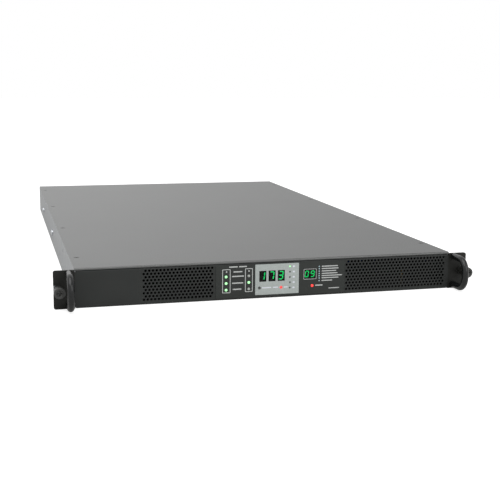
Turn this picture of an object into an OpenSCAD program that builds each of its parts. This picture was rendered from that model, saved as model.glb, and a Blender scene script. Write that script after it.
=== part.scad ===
// Rack static transfer switch, one rack unit high.
// X runs across the rack, Y from the front panel to the rear panel, Z up.
// The origin is the centre of the underside of the chassis.

/* [Chassis] */
// Width of the folded chassis over its side walls
chassis_w = 437.5; // [434:0.5:440]
// Height of the chassis with its cover on
chassis_h = 44; // [43.7:0.1:44.4]
// Depth of the chassis from the front panel to the rear panel
chassis_d = 762; // [720:1:820]
// Thickness of the galvanised sheet
sheet_t = 1.2; // [1:0.1:1.4]
// Outer radius of the folds in the chassis sheet
bend_r = 1.8; // [1.6:0.1:2.4]
// Width of the inward flanges that carry the cover
flange_w = 14; // [12:0.5:18]
// Thickness of the cover sheet
cover_t = 1; // [0.8:0.1:1.2]
// Depth of the lip folded down along the cover's front edge
lip_h = 2.4; // [2:0.1:3]
// Outer radius of the fold in the cover's front lip
lip_r = 1.5; // [1.3:0.1:1.9]
// Seam between the cover's lip and the front panel
seam = 0.3; // [0.2:0.05:0.5]

/* [Front panel] */
// Thickness of the front panel sheet
panel_t = 1.5; // [1.2:0.1:1.8]
// Outer radius of the folds along the front panel's top and bottom edges
panel_r = 1.8; // [1.81:0.01:2.2]
// Depth of the front panel's top and bottom returns
panel_return = 8; // [6:0.5:10]
// Depth of the end tabs that the ear screws pull against
tab_d = 30; // [28:0.5:34]
// Diameter of one vent hole
vent_hole_d = 2.8; // [2.4:0.1:3.1]
// Distance between vent holes along a row
vent_pitch_x = 4.13; // [4:0.01:4.2]
// Distance between vent rows
vent_pitch_z = 3.57; // [3.5:0.01:3.6]
// Number of rows in each vent field
vent_rows = 10; // [6:1:10]
// Holes in one row of the left vent field
left_vent_cols = 19; // [10:1:19]
// Holes in one row of the right vent field
right_vent_cols = 30; // [15:1:30]
// First hole of the left vent field, measured from the middle of the panel
left_vent_x = -144.5; // [-150:0.5:-143]
// First hole of the right vent field, measured from the middle of the panel
right_vent_x = 90.4; // [90:0.5:94]
// Height of the lowest vent row
vent_z = 5.7; // [5:0.1:6.5]

/* [Rack ears] */
// Width over both rack ears
rack_w = 482.6; // [481:0.1:483.4]
// Height of a rack ear
ear_h = 42.2; // [41:0.1:43.4]
// Thickness of the ear plate
ear_t = 2.5; // [2:0.1:3]
// Radius of the ear's outer corners
ear_corner_r = 2.3; // [1:0.1:4]
// Depth of the ear's flange along the chassis side
ear_flange_d = 28; // [26:0.5:32]
// Radius of the closed end of the rack notch
notch_r = 5; // [4.6:0.1:5.4]
// Distance from the ear's outer edge to the centre of the notch
notch_inset = 5.7; // [5.4:0.1:6.2]
// Height of the notch above the chassis underside
notch_z = 21.3; // [20.5:0.1:22.2]

/* [Handles] */
// Diameter of the handle bar
handle_d = 7.6; // [6:0.1:8]
// Distance from the ear's outer edge to the handle's centre line
handle_inset = 16.3; // [15.9:0.1:16.5]
// Height of the handle's lower leg
handle_z = 5; // [4.2:0.1:5.5]
// Distance between the two legs
handle_span = 33.4; // [30:0.1:34]
// Reach of the handle in front of the ear
handle_reach = 35; // [30:0.5:40]
// Radius of the bends along the centre line
handle_bend_r = 14; // [10:0.5:14.5]
// Diameter of the screws that hold the handles
handle_screw_d = 4; // [3:0.1:4]

/* [Thumbscrews] */
// Diameter of the knurled head
knob_d = 12.6; // [11.5:0.1:12.7]
// Length of the knurled head
knob_l = 9; // [7:0.5:11]
// Reach of the head in front of the ear
knob_reach = 18; // [14:0.5:19]
// Diameter of the neck that passes through the notch
neck_d = 8.2; // [7:0.1:9]
// Diameter of the threaded shank
shank_d = 6; // [5:0.1:6]
// Length of the shank behind the ear
shank_l = 16; // [12:0.5:18]

/* [Display] */
// Left edge of the display overlay
overlay_x0 = -64; // [-66:0.5:-62]
// Right edge of the display overlay
overlay_x1 = 87.6; // [86:0.2:88]
// Lower edge of the display overlay
overlay_z0 = 2.2; // [2:0.1:3]
// Upper edge of the display overlay
overlay_z1 = 39.4; // [38.5:0.1:39.5]
// Thickness of the overlay
overlay_t = 0.5; // [0.3:0.05:0.7]
// Thickness of the silver meter plate on the overlay
fascia_t = 0.3; // [0.2:0.05:0.4]
// Width of one digit window
digit_window_w = 8.3; // [7.5:0.1:9]
// Height of one digit window
digit_window_h = 12.5; // [11:0.1:13.5]
// Distance between the digit windows
digit_pitch = 10.85; // [10.6:0.05:11.2]
// Height of the middle of the digits
digit_z = 25.5; // [24:0.1:27]
// Slant of the digits in degrees
digit_slant = 8; // [0:1:12]
// Diameter of the status lamps
led_d = 3; // [2.6:0.1:3.2]
// Diameter of the small lamps beside the meter
small_led_d = 2; // [1.8:0.1:2.4]
// Diameter of the select button
button_d = 3; // [2.6:0.1:3.4]
// Travel of the select button
button_travel = 0.8; // [0.4:0.1:0.9]
// Distance from the panel face to the display board
display_board_y = 9; // [8.6:0.1:10]

/* [Fans] */
// Side of one square fan
fan_w = 40; // [38:0.5:40]
// Thickness of one fan
fan_t = 28; // [25:0.5:30]
// Distance between fan centres
fan_pitch = 42; // [40.5:0.5:44]
// Diameter of the fan duct
fan_bore_d = 37.6; // [36:0.1:37.6]
// Clearance between the blade tips and the duct
tip_gap = 1; // [0.6:0.1:1.5]
// Number of blades on one fan
blades = 7; // [5:1:9]

/* [Rear panel] */
// Distance from the left side wall to the middle of the first inlet
inlet_x = 24.75; // [23:0.25:26]
// Distance between the two inlets
inlet_pitch = 60; // [58:0.5:62]
// Height of the middle of the inlets and outlets
socket_z = 22; // [21.5:0.1:22.4]
// Distance between the small outlets
outlet_pitch = 29; // [28.8:0.1:29.2]
// Number of small outlets
outlets = 4; // [2:1:4]
// Travel of a tripped breaker button
reset_travel = 3; // [2:0.5:4]
// Diameter of the earth stud
stud_d = 5; // [4:0.5:6]

/* [Switching stage] */
// Width of a heat sink
sink_w = 120; // [116:1:124]
// Height of a heat sink
sink_h = 36; // [30:0.5:38]
// Thickness of a heat sink's base
sink_base = 5; // [4.5:0.1:6]
// Thickness of one fin
fin_t = 1.4; // [1:0.1:1.8]
// Distance between fins
fin_pitch = 4; // [3.6:0.1:4.4]
// Length of one thyristor module
module_l = 38; // [36:0.5:40]
// Width of one thyristor module
module_w = 25; // [24:0.5:26]
// Thickness of the copper bars
bar_t = 2; // [1.5:0.1:2.5]
// Width of the copper bars
bar_w = 8; // [6:0.5:9]

/* [Boards] */
// Thickness of the circuit boards
board_t = 1.6; // [1.2:0.1:2]
// Height of the board pillars
pillar_h = 6; // [5:0.5:8]
// Diameter of the board pillars
pillar_d = 6; // [5:0.5:7]

/* [Hidden] */
$fn = 48;

front_y = -chassis_d / 2;
back_y = chassis_d / 2;
wall_x = chassis_w / 2;
tray_h = chassis_h - cover_t;
floor_z = sheet_t;
touch = 0.05;      // running clearance of turning and sliding pieces
fit = 0.15;        // clearance of pieces pushed through a cut-out

// front panel
panel_h = chassis_h - lip_h - seam;
tab_x = wall_x - sheet_t;
tab_z0 = 3.2;
tab_z1 = 38;
panel_inner_y = front_y + panel_t;

// fasteners: radius of the shank and of the hole that it passes
m3_r = 1.5;
m3_hole_r = 1.6;
m4_r = 2;
m4_hole_r = 2.1;
fan_screw_r = 1.4;
fan_screw_hole_r = 1.8;
fan_thread_r = 1.45;
fan_head = [2.7, 1.7];
fan_screw_l = 12;

// chassis fasteners: distances from the front panel and heights
side_screw_at = [[385, 20], [620, 20]];
rail_hole_y = [176, 556];
rail_hole_z = 31;
cover_screw_inset = 61;
cover_screw_count = 4;
cover_screw_step = (chassis_d - 2 * cover_screw_inset) / (cover_screw_count - 1);
cover_screw_y = [for (i = [0:cover_screw_count - 1]) front_y + cover_screw_inset + i * cover_screw_step];
cover_screw_x = wall_x - flange_w / 2 - 0.5;
cover_screw_l = 6;

// rack ears, measured from the middle
ear_x = rack_w / 2;
notch_x = ear_x - notch_inset;
handle_x = ear_x - handle_inset;
handle_top_z = handle_z + handle_span;
ear_flange_z0 = 4;
ear_flange_z1 = 33;
ear_screw_y = 19;
ear_screw_z = [10, 27];

// thumbscrews
washer_t = 1;
washer_r = 7.4;
washer_y = front_y + ear_t;
ring_t = 0.8;
ring_r = 5;
ring_y = washer_y + washer_t + touch + 0.01;
groove_r = shank_d / 2 - 0.5;
knurls = 24;

// display, measured from the middle of the panel
meter_x = 0.85;
fascia_x0 = -18.8;
fascia_x1 = 32.5;
fascia_z0 = 4.2;
fascia_z1 = 39.2;
alarm_x = 46;
alarm_z = 25.4;
alarm_window_w = 14.2;
alarm_window_h = 11;
column_a_x = -52.4;
column_b_x = -26.2;
column_z = 26.7;
column_pitch = 7.5;
small_led_x = 21.9;
small_led_z = 35.5;
small_led_pitch = 6.15;
red_led_z = 11.8;
meter_red_x = 11.6;
alarm_red_x = 48.8;
button_x = -13.9;
button_z = 12.4;
module_face_y = 1;
digit_module_w = 10.4;
digit_module_h = 14.4;
alarm_module_w = 16;
alarm_module_h = 13;
segment_t = 0.3;
green_at = [
    [column_a_x, column_z], [column_a_x, column_z - column_pitch],
    [column_a_x, column_z - 2 * column_pitch], [column_b_x, column_z - column_pitch],
];
dark_at = [[column_b_x, column_z], [column_b_x, column_z - 2 * column_pitch]];
red_at = [[meter_red_x, red_led_z], [alarm_red_x, red_led_z]];
small_at = [for (i = [0:4]) [small_led_x, small_led_z - i * small_led_pitch]];
digits = [1, 7, 3];
alarm_digits = [0, 9];
display_board_x = [-58, 82];
display_board_z = [3.4, 38];
display_pillar_x = [-38, 34, 74];
display_pillar_z = [6, 36];

// fans, measured from the right side wall
fan_z = floor_z + 0.2 + fan_w / 2;
fan_inset = 34.75;
fan_x = [for (i = [0:2]) wall_x - fan_inset - i * fan_pitch];
fan_hole = fan_w / 2 - 4;
fan_y1 = back_y - sheet_t;
fan_y0 = fan_y1 - fan_t;
fan_hub_r = 9;
fan_hub_wall = 1.4;
fan_hub_l = fan_t - 8;
fan_strut_t = 3;
fan_rotor_y = fan_y0 + fan_strut_t + 0.6 + fan_hub_l / 2;
fan_shaft_r = 1;
bearing_r = 3;
bearing_l = 9;
guard_wire = 0.7;
guard_rings = [5, 9.5, 14, 18.5];
guard_foot_t = 1.9;

// rear sockets
inlet_at = [-wall_x + inlet_x, -wall_x + inlet_x + inlet_pitch];
inlet_size = [33, 25];
inlet_recess = [30, 21.4];
inlet_recess_d = 18;
blade_gap = 13;
blade_z = 4.2;
blade_size = [8, 2];
blade_back = 1;      // the blades end this far inside the flange's plane
breaker_at = [for (x = inlet_at) x + 29];
breaker_z = 22;
breaker_w = 14;
breaker_body = 32;
breaker_neck_r = 4.75;
breaker_neck_l = 6;
reset_r = 3;
reset_collar_r = 3.6;
reset_proud = 8;
reset_room = 12;     // depth of the bore behind the button
reset_step = 5;      // where the wide part of the bore ends
jack_x = breaker_at[1] + 21;
jack_z = 30;
jack_size = [16, 13.4];
jack_depth = 21;
jack_mouth = [11.8, 8];
jack_mouth_z = 0.6;
jack_mouth_d = 19;
jack_latch = [4, 3];
jack_proud = 0.8;
stud_z = 11;
stud_free = 10;
stud_collar_t = 3;
stud_collar_r = stud_d * 0.9;
outlet_size = [27, 21];
small_moat = [24.6, 16.8];
small_core = [19.6, 11.8];
small_slots = [[-7, -1.6], [7, -1.6], [0, 2]];
small_slot = [2.2, 4.6];
large_moat = [29.6, 21];
large_core = [24.4, 15.8];
large_slots = [[-6.5, -3.4], [6.5, -3.4], [0, 3.6]];
large_slot = [8.3, 2.2];
moat_d = 15;
slot_d = 16;
large_size = [32, 25];
socket_flange = 2.4;
flange_over = [0.9, 1.4];
flange_gap = 0.2;
outlet_x0 = jack_x + 26;
last_outlet_x = outlet_x0 + (outlets - 1) * outlet_pitch;
large_x = last_outlet_x + (outlet_size[0] + large_size[0]) / 2 + 2 * flange_over[0] + flange_gap;
socket_depth = 22;
tab_l = 8;
inlet_tab_l = 14;
tab_t = 0.8;
tab_w = 6.3;
outlet_board_y = back_y - sheet_t - socket_depth - tab_l - board_t;
outlet_board_z = [5, 38];

// switching stage, measured forwards from the rear panel
bar_z = socket_z - blade_z + tab_t / 2;
relay_w = 32;
relay_l = 50;
relay_r = 2;
post_h = 3;          // height of a terminal post over the body
barrier_t = 2.4;
barrier_h = 4;
sensor_w = 12.4;
sensor_l = 14;
sensor_h = 12;
sensor_from_back = [82, 62];
relay_from_back = [162, 122];
module_gap = 28;
landing = 56;
sink_x = wall_x - 78.75;
sink_from_back = [[292, 192], [122, 56]];
module_from_back = [260, 114];
run_from_back = [[190, 174], [150, 134]];
output_run_from_back = [54, 42];
output_tab_x = [-20, 40];
output_z = bar_z + bar_t + 3;
pad = 9;
module_base_t = 2.5;
module_shoulder = 1.5;

// boards
board_z = floor_z + pillar_h;
top_z = board_z + board_t;
filter_x = [wall_x - 212.75, wall_x - 22.75];
filter_y = [60, 300];
control_x = [-wall_x + 22.75, -wall_x + 188.75];
control_y = [60, 260];
pillar_inset = 7;
ribbon_x = [control_x[1] - 26, control_x[1] - 2];
ribbon_y0 = front_y + display_board_y + board_t + 6;
ribbon_y1 = front_y + control_y[0] + 20;
ribbon_t = 1;
header_l = 8;
header_h = 10;
chokes = 2;
choke_at = [45, 180];
choke_pitch = 90;
choke_edge_r = 4;
choke_r = [10, 22];
choke_h = 18;
capacitors = 4;
capacitor_at = [30, 30];
capacitor_size = [42, 20, 27];
capacitor_pitch = 27;
arresters = 4;
arrester_at = [110, 60];
arrester_pitch = 18;
arrester_r = 10;
arrester_t = 5;
lead_r = 0.5;
lead_gap = 7;
lead_h = 3;
chips = 3;
chip_at = [96, 40];
chip_pitch = 44;
chip_size = 14;
chip_step = 6;
chip_t = 1.8;
cans = 5;
can_at = [20, 90];
can_r = 5;
can_h = 18;
can_pitch = 14;
transformer_at = [20, 120];
core_size = [44, 20, 30];
core_leg = 7;
core_window = [8, 17];
coil_over = 8;       // reach of the winding in front of and behind the core

// Bars that each numeral lights: top, upper right, lower right, bottom, lower left, upper left, middle.
LIT = [
    [1, 1, 1, 1, 1, 1, 0], [0, 1, 1, 0, 0, 0, 0], [1, 1, 0, 1, 1, 0, 1], [1, 1, 1, 1, 0, 0, 1],
    [0, 1, 1, 0, 0, 1, 1], [1, 0, 1, 1, 0, 1, 1], [1, 0, 1, 1, 1, 1, 1], [1, 1, 1, 0, 0, 0, 0],
    [1, 1, 1, 1, 1, 1, 1], [1, 1, 1, 1, 0, 1, 1],
];

// ---------------------------------------------------------------- helpers

module plate_y(y_a, y_b) {
    translate([0, y_b, 0]) rotate([90, 0, 0]) linear_extrude(y_b - y_a) children();
}

module plate_x(x_a, x_b) {
    translate([x_a, 0, 0]) rotate([90, 0, 90]) linear_extrude(x_b - x_a) children();
}

module rod_y(r, y_a, y_b, fn = 32) {
    translate([0, y_a, 0]) rotate([-90, 0, 0]) cylinder(r = r, h = y_b - y_a, $fn = fn);
}

module rod_x(r, x_a, x_b, fn = 32) {
    translate([x_a, 0, 0]) rotate([0, 90, 0]) cylinder(r = r, h = x_b - x_a, $fn = fn);
}

module box(x, y, z) {
    translate([x[0], y[0], z[0]]) cube([x[1] - x[0], y[1] - y[0], z[1] - z[0]]);
}

module rect(w, h) {
    square([w, h], center = true);
}

// Rectangle between two corners with round corners, made of true arcs.
module rounded(x0, y0, x1, y1, r) {
    translate([x0 + r, y0]) square([x1 - x0 - 2 * r, y1 - y0]);
    translate([x0, y0 + r]) square([x1 - x0, y1 - y0 - 2 * r]);
    for (x = [x0 + r, x1 - r], y = [y0 + r, y1 - r]) translate([x, y]) circle(r);
}

// Socket outline: a rectangle with its two upper corners cut off.
module keyed(w, h, c) {
    polygon([
        [-w / 2, -h / 2], [w / 2, -h / 2], [w / 2, h / 2 - c],
        [w / 2 - c, h / 2], [-w / 2 + c, h / 2], [-w / 2, h / 2 - c],
    ]);
}

// ---------------------------------------------------------------- chassis

module tray_section() {
    difference() {
        rounded(-wall_x, 0, wall_x, tray_h, bend_r);
        rounded(-wall_x + sheet_t, sheet_t, wall_x - sheet_t, tray_h - sheet_t, bend_r - sheet_t);
        translate([-wall_x + flange_w, tray_h - 2 * sheet_t])
            square([chassis_w - 2 * flange_w, 3 * sheet_t]);
    }
}

module rear_cutouts() {
    for (x = fan_x) translate([x, fan_z]) {
        circle(d = fan_bore_d);
        for (a = [0:90:270]) rotate(a) translate([fan_hole, fan_hole]) circle(fan_screw_hole_r, $fn = 16);
    }
    for (x = inlet_at) socket_cutout(x, socket_z, inlet_size);
    for (x = breaker_at) translate([x, breaker_z]) circle(breaker_neck_r + fit);
    for (i = [0:outlets - 1]) socket_cutout(outlet_x0 + i * outlet_pitch, socket_z, outlet_size);
    socket_cutout(large_x, socket_z, large_size);
    socket_cutout(jack_x, jack_z, jack_size);
    translate([jack_x, stud_z]) circle(d = stud_d + 2 * fit);
}

module socket_cutout(x, z, size) {
    translate([x, z]) rect(size[0] + 2 * fit, size[1] + 2 * fit);
}

module chassis_tray() {
    color("silver") difference() {
        union() {
            plate_y(panel_inner_y, back_y) tray_section();
            plate_y(back_y - sheet_t, back_y) rounded(-wall_x, 0, wall_x, tray_h, bend_r);
            // flange along the rear panel's top edge
            box([-wall_x + flange_w - 1, wall_x - flange_w + 1],
                [back_y - flange_w, back_y - sheet_t / 2], [tray_h - sheet_t, tray_h]);
        }
        // room for the front panel's lower return
        box([-tab_x, tab_x], [front_y, front_y + panel_return + fit], [-1, panel_t + touch]);
        plate_y(back_y - 2 * sheet_t, back_y + 1) rear_cutouts();
        for (s = [-1, 1]) {
            for (z = ear_screw_z) side_hole(s, front_y + ear_screw_y, z, m4_hole_r);
            for (y = rail_hole_y) side_hole(s, front_y + y, rail_hole_z, m4_hole_r);
            for (p = side_screw_at) side_hole(s, front_y + p[0], p[1], m4_hole_r);
            for (y = cover_screw_y) translate([s * cover_screw_x, y, tray_h - 2 * sheet_t])
                cylinder(r = m3_hole_r, h = 3 * sheet_t, $fn = 20);
        }
    }
}

// Drill for a hole through one side wall.
module side_hole(s, y, z, r) {
    translate([s * wall_x, y, z]) rod_x(r, -3, 3, 24);
}

module top_cover() {
    sink_r = m3_hole_r + 0.15;
    color("dimgray") difference() {
        plate_x(-wall_x, wall_x) difference() {
            union() {
                translate([front_y + lip_r, chassis_h - lip_h]) square([chassis_d - lip_r, lip_h]);
                translate([front_y, chassis_h - lip_h]) square([lip_r, lip_h - lip_r]);
                translate([front_y + lip_r, chassis_h - lip_r]) circle(lip_r);
            }
            translate([front_y + cover_t, chassis_h - lip_h - 1])
                square([chassis_d, lip_h + 1 - cover_t]);
            translate([front_y, chassis_h - lip_h - lip_r]) square([chassis_d, lip_r]);
        }
        for (s = [-1, 1], y = cover_screw_y) translate([s * cover_screw_x, y, tray_h - 0.5])
            cylinder(r1 = sink_r, r2 = sink_r + cover_t + 0.5, h = cover_t + 0.51, $fn = 24);
    }
}

module cover_screws() {
    head_r = m3_r + 0.65;
    slot = [2.2, 0.5, 0.6];
    color("black") for (s = [-1, 1], y = cover_screw_y) translate([s * cover_screw_x, y, 0]) difference() {
        union() {
            translate([0, 0, tray_h + 0.02])
                cylinder(r1 = head_r, r2 = head_r + cover_t - 0.02, h = cover_t - 0.02, $fn = 24);
            translate([0, 0, tray_h - cover_screw_l]) cylinder(r = m3_r, h = cover_screw_l + 0.2, $fn = 20);
        }
        for (a = [0, 90]) rotate(a) translate([-slot[0] / 2, -slot[1] / 2, chassis_h - slot[2]])
            cube([slot[0], slot[1], 1]);
    }
}

// ---------------------------------------------------------------- front panel

// Staggered field of round holes: every second row is set back by half a pitch.
module vent_field(x0, cols) {
    for (row = [0:vent_rows - 1], col = [0:cols - 1]) {
        shift = row % 2 == 0 ? 0 : vent_pitch_x / 2;
        translate([x0 + shift + col * vent_pitch_x, vent_z + row * vent_pitch_z])
            circle(d = vent_hole_d, $fn = 16);
    }
}

module display_cutouts(gap) {
    translate([meter_x, digit_z])
        rect(2 * digit_pitch + digit_module_w + 2 * gap, digit_module_h + 2 * gap);
    translate([alarm_x, alarm_z]) rect(alarm_module_w + 2 * gap, alarm_module_h + 2 * gap);
    lamp_holes(gap);
}

module lamp_holes(gap) {
    for (p = concat(green_at, dark_at, red_at)) translate(p) circle(d = led_d + 2 * gap, $fn = 24);
    for (p = small_at) translate(p) circle(d = small_led_d + 2 * gap, $fn = 20);
    translate([button_x, button_z]) circle(d = button_d + 2 * touch, $fn = 24);
}

module front_section() {
    difference() {
        rounded(front_y, 0, front_y + 2 * panel_return, panel_h, panel_r);
        translate([front_y + panel_t, panel_t]) square([2 * panel_return, panel_h - 2 * panel_t]);
        translate([front_y + panel_return, -1]) square([2 * panel_return, panel_h + 2]);
    }
}

module front_panel() {
    color("#3f413e") difference() {
        union() {
            plate_x(-tab_x, tab_x) front_section();
            plate_y(front_y, panel_inner_y) translate([-wall_x, panel_r])
                square([chassis_w, panel_h - 2 * panel_r]);
            for (x = [-tab_x, tab_x - panel_t])
                box([x, x + panel_t], [front_y + panel_t / 2, front_y + tab_d], [tab_z0, tab_z1]);
        }
        plate_y(front_y - 1, panel_inner_y + 1) {
            vent_field(left_vent_x, left_vent_cols);
            vent_field(right_vent_x, right_vent_cols);
            display_cutouts(0.1);
        }
        for (s = [-1, 1], z = ear_screw_z)
            translate([s * tab_x, front_y + ear_screw_y, z]) rod_x(m3_hole_r + touch, -4, 4, 20);
    }
}

module display_overlay() {
    color("#3a3c3a") plate_y(front_y - overlay_t, front_y) difference() {
        rounded(overlay_x0, overlay_z0, overlay_x1, overlay_z1, 0.6);
        display_windows_outline();
        lamp_holes(0.1);
    }
}

module display_windows_outline(gap = 0) {
    for (i = [-1:1]) translate([meter_x + i * digit_pitch, digit_z])
        rect(digit_window_w + 2 * gap, digit_window_h + 2 * gap);
    translate([alarm_x, alarm_z]) rect(alarm_window_w + 2 * gap, alarm_window_h + 2 * gap);
}

module meter_fascia() {
    color("#a0a5a2") plate_y(front_y - overlay_t - fascia_t, front_y - overlay_t) difference() {
        rounded(fascia_x0, fascia_z0, fascia_x1, fascia_z1, 0.5);
        display_windows_outline();
        lamp_holes(0.1);
    }
}

module display_windows() {
    color("#202522") plate_y(front_y - overlay_t, front_y - touch) display_windows_outline(-touch);
}

// ---------------------------------------------------------------- display electronics

// Point on a digit's face after its slant.
function slanted(x, z) = [x + z * tan(digit_slant), z];

// One bar of a seven-segment digit, lying along x or standing along z.
module segment_bar(x, z, len, thick, upright) {
    a = len / 2;
    b = thick / 2;
    pts = upright
        ? [[0, -a], [b, -a + b], [b, a - b], [0, a], [-b, a - b], [-b, -a + b]]
        : [[-a, 0], [-a + b, b], [a - b, b], [a, 0], [a - b, -b], [-a + b, -b]];
    polygon([for (p = pts) slanted(x + p[0], z + p[1])]);
}

module numeral(n, w, h, thick) {
    gap = 0.15;
    x = w / 2;
    z = h / 2;
    upright = [[x, z / 2], [x, -z / 2], [-x, -z / 2], [-x, z / 2]];
    level = [[0, z], [0, -z], [0, 0]];
    for (i = [0:3]) if (LIT[n][[1, 2, 4, 5][i]] == 1)
        segment_bar(upright[i][0], upright[i][1], z - 2 * gap, thick, true);
    for (i = [0:2]) if (LIT[n][[0, 3, 6][i]] == 1)
        segment_bar(level[i][0], level[i][1], w - 2 * gap, thick, false);
}

module digit_modules() {
    color("black") plate_y(front_y + module_face_y, front_y + display_board_y) {
        for (i = [-1:1]) translate([meter_x + i * digit_pitch, digit_z])
            rect(digit_module_w, digit_module_h);
        translate([alarm_x, alarm_z]) rect(alarm_module_w, alarm_module_h);
    }
}

module digit_segments() {
    color("#35d060") plate_y(front_y + module_face_y - segment_t, front_y + module_face_y) {
        for (i = [0:2]) translate([meter_x + (i - 1) * digit_pitch, digit_z])
            numeral(digits[i], 4.6, 8.6, 1.2);
        for (i = [0:1]) translate([alarm_x + (i - 0.5) * 7, alarm_z])
            numeral(alarm_digits[i], 3.6, 6.6, 0.95);
    }
}

// Lamp with a domed front, a body and a collar that stands on the display board.
module lamp(p, d) {
    translate([p[0], front_y - overlay_t, p[1]]) rotate([-90, 0, 0]) rotate_extrude($fn = 24) difference() {
        union() {
            translate([0, 0]) square([d / 2, display_board_y + overlay_t]);
            translate([0, 5]) square([d / 2 + 0.4, 1]);
            intersection() {
                translate([0, d / 2 - 0.6]) circle(d / 2, $fn = 24);
                translate([0, -0.6]) square([d, d]);
            }
        }
        translate([-d, -d]) square([d, 3 * d]);
    }
}

module green_lamps() {
    color("#9be8a4") {
        for (p = green_at) lamp(p, led_d);
        lamp(small_at[0], small_led_d);
    }
}

module dark_lamps() {
    color("#b8bcb6") {
        for (p = dark_at) lamp(p, led_d);
        for (i = [1:4]) lamp(small_at[i], small_led_d);
    }
}

module red_lamps() {
    color("#f04438") for (p = red_at) lamp(p, led_d);
}

module display_board() {
    color("darkgreen") {
        plate_y(front_y + display_board_y, front_y + display_board_y + board_t) difference() {
            translate([display_board_x[0], display_board_z[0]])
                square([display_board_x[1] - display_board_x[0], display_board_z[1] - display_board_z[0]]);
            for (x = display_pillar_x, z = display_pillar_z) translate([x, z]) circle(1.2, $fn = 16);
        }
        box(ribbon_x, [front_y + display_board_y + board_t - 0.01, ribbon_y0], [18, 24]);
    }
}

module button_switch() {
    y1 = front_y + display_board_y;
    color("dimgray") plate_y(y1 - 2, y1) translate([button_x, button_z]) rect(5, 5);
}

module select_button() {
    y1 = front_y + display_board_y - 2 - button_travel - 0.15;
    color("#2c2d2c") translate([button_x, 0, button_z]) {
        rod_y(button_d / 2, front_y - overlay_t - fascia_t - 0.9, y1, 24);
        rod_y(button_d / 2 + 0.7, panel_inner_y + 0.1, panel_inner_y + 0.9, 24);
    }
}

// ---------------------------------------------------------------- rack ears and handles

module ear_face() {
    difference() {
        union() {
            translate([wall_x, 0]) square([ear_x - wall_x - ear_corner_r, ear_h]);
            translate([wall_x + ear_corner_r, ear_corner_r])
                square([ear_x - wall_x - ear_corner_r, ear_h - 2 * ear_corner_r]);
            for (z = [ear_corner_r, ear_h - ear_corner_r]) translate([ear_x - ear_corner_r, z])
                circle(ear_corner_r, $fn = 32);
        }
        translate([notch_x, notch_z]) circle(notch_r);
        translate([notch_x, notch_z - notch_r]) square([notch_r + notch_inset, 2 * notch_r]);
        for (z = [handle_z, handle_top_z]) translate([handle_x, z])
            circle(handle_screw_d / 2 + fit, $fn = 24);
    }
}

module ear() {
    color("#32332f") difference() {
        union() {
            plate_y(front_y, front_y + ear_t) ear_face();
            box([wall_x, wall_x + ear_t], [front_y, front_y + ear_flange_d], [ear_flange_z0, ear_flange_z1]);
        }
        for (z = ear_screw_z) translate([wall_x, front_y + ear_screw_y, z])
            rod_x(m4_hole_r, -1, ear_t + 1, 20);
    }
}

module ear_right() {
    ear();
}

module ear_left() {
    mirror([1, 0, 0]) ear();
}

// Round bar bent to a D: two legs, two quarter bends and a grip, one solid.
module handle() {
    r = handle_d / 2;
    grip_y = front_y - handle_reach + r;
    bend_y = grip_y + handle_bend_r;
    low_z = handle_z + handle_bend_r;
    high_z = handle_top_z - handle_bend_r;
    color("#1c1e1f") translate([handle_x, 0, 0]) difference() {
        union() {
            for (z = [handle_z, handle_top_z]) translate([0, 0, z]) rod_y(r, bend_y, front_y, 48);
            translate([0, bend_y, low_z]) handle_bend(-90);
            translate([0, bend_y, high_z]) handle_bend(180);
            translate([0, grip_y, low_z]) cylinder(r = r, h = high_z - low_z, $fn = 48);
        }
        for (z = [handle_z, handle_top_z]) translate([0, 0, z])
            rod_y(handle_screw_d / 2 + touch, front_y - 9, front_y + 1, 24);
    }
}

// Quarter bend of the handle bar, turned about X to its corner.
module handle_bend(turn) {
    rotate([0, 90, 0]) rotate([0, 0, turn]) rotate_extrude(angle = 90, $fn = 48)
        translate([handle_bend_r, 0]) circle(handle_d / 2);
}

module handle_right() {
    handle();
}

module handle_left() {
    mirror([1, 0, 0]) handle();
}

module pan_head(r, h) {
    rotate_extrude($fn = 24) intersection() {
        translate([0, h - 2 * r]) circle(2 * r, $fn = 64);
        square([r, h]);
    }
}

module handle_screws() {
    color("gray") for (s = [-1, 1], z = [handle_z, handle_top_z]) translate([s * handle_x, 0, z]) {
        rod_y(handle_screw_d / 2, front_y - 7, front_y + ear_t + 0.1, 24);
        translate([0, front_y + ear_t, 0]) rotate([-90, 0, 0]) pan_head(handle_screw_d * 0.85, 2.2);
    }
}

module ear_screws() {
    grip = ear_t + sheet_t + panel_t;
    color("silver") for (s = [-1, 1], z = ear_screw_z)
        translate([s * (wall_x + ear_t), front_y + ear_screw_y, z]) rotate([0, s * 90, 0]) {
            translate([0, 0, -grip]) cylinder(r = m3_hole_r, h = grip + 0.1, $fn = 20);
            pan_head(3.2, 1.9);
        }
}

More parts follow.
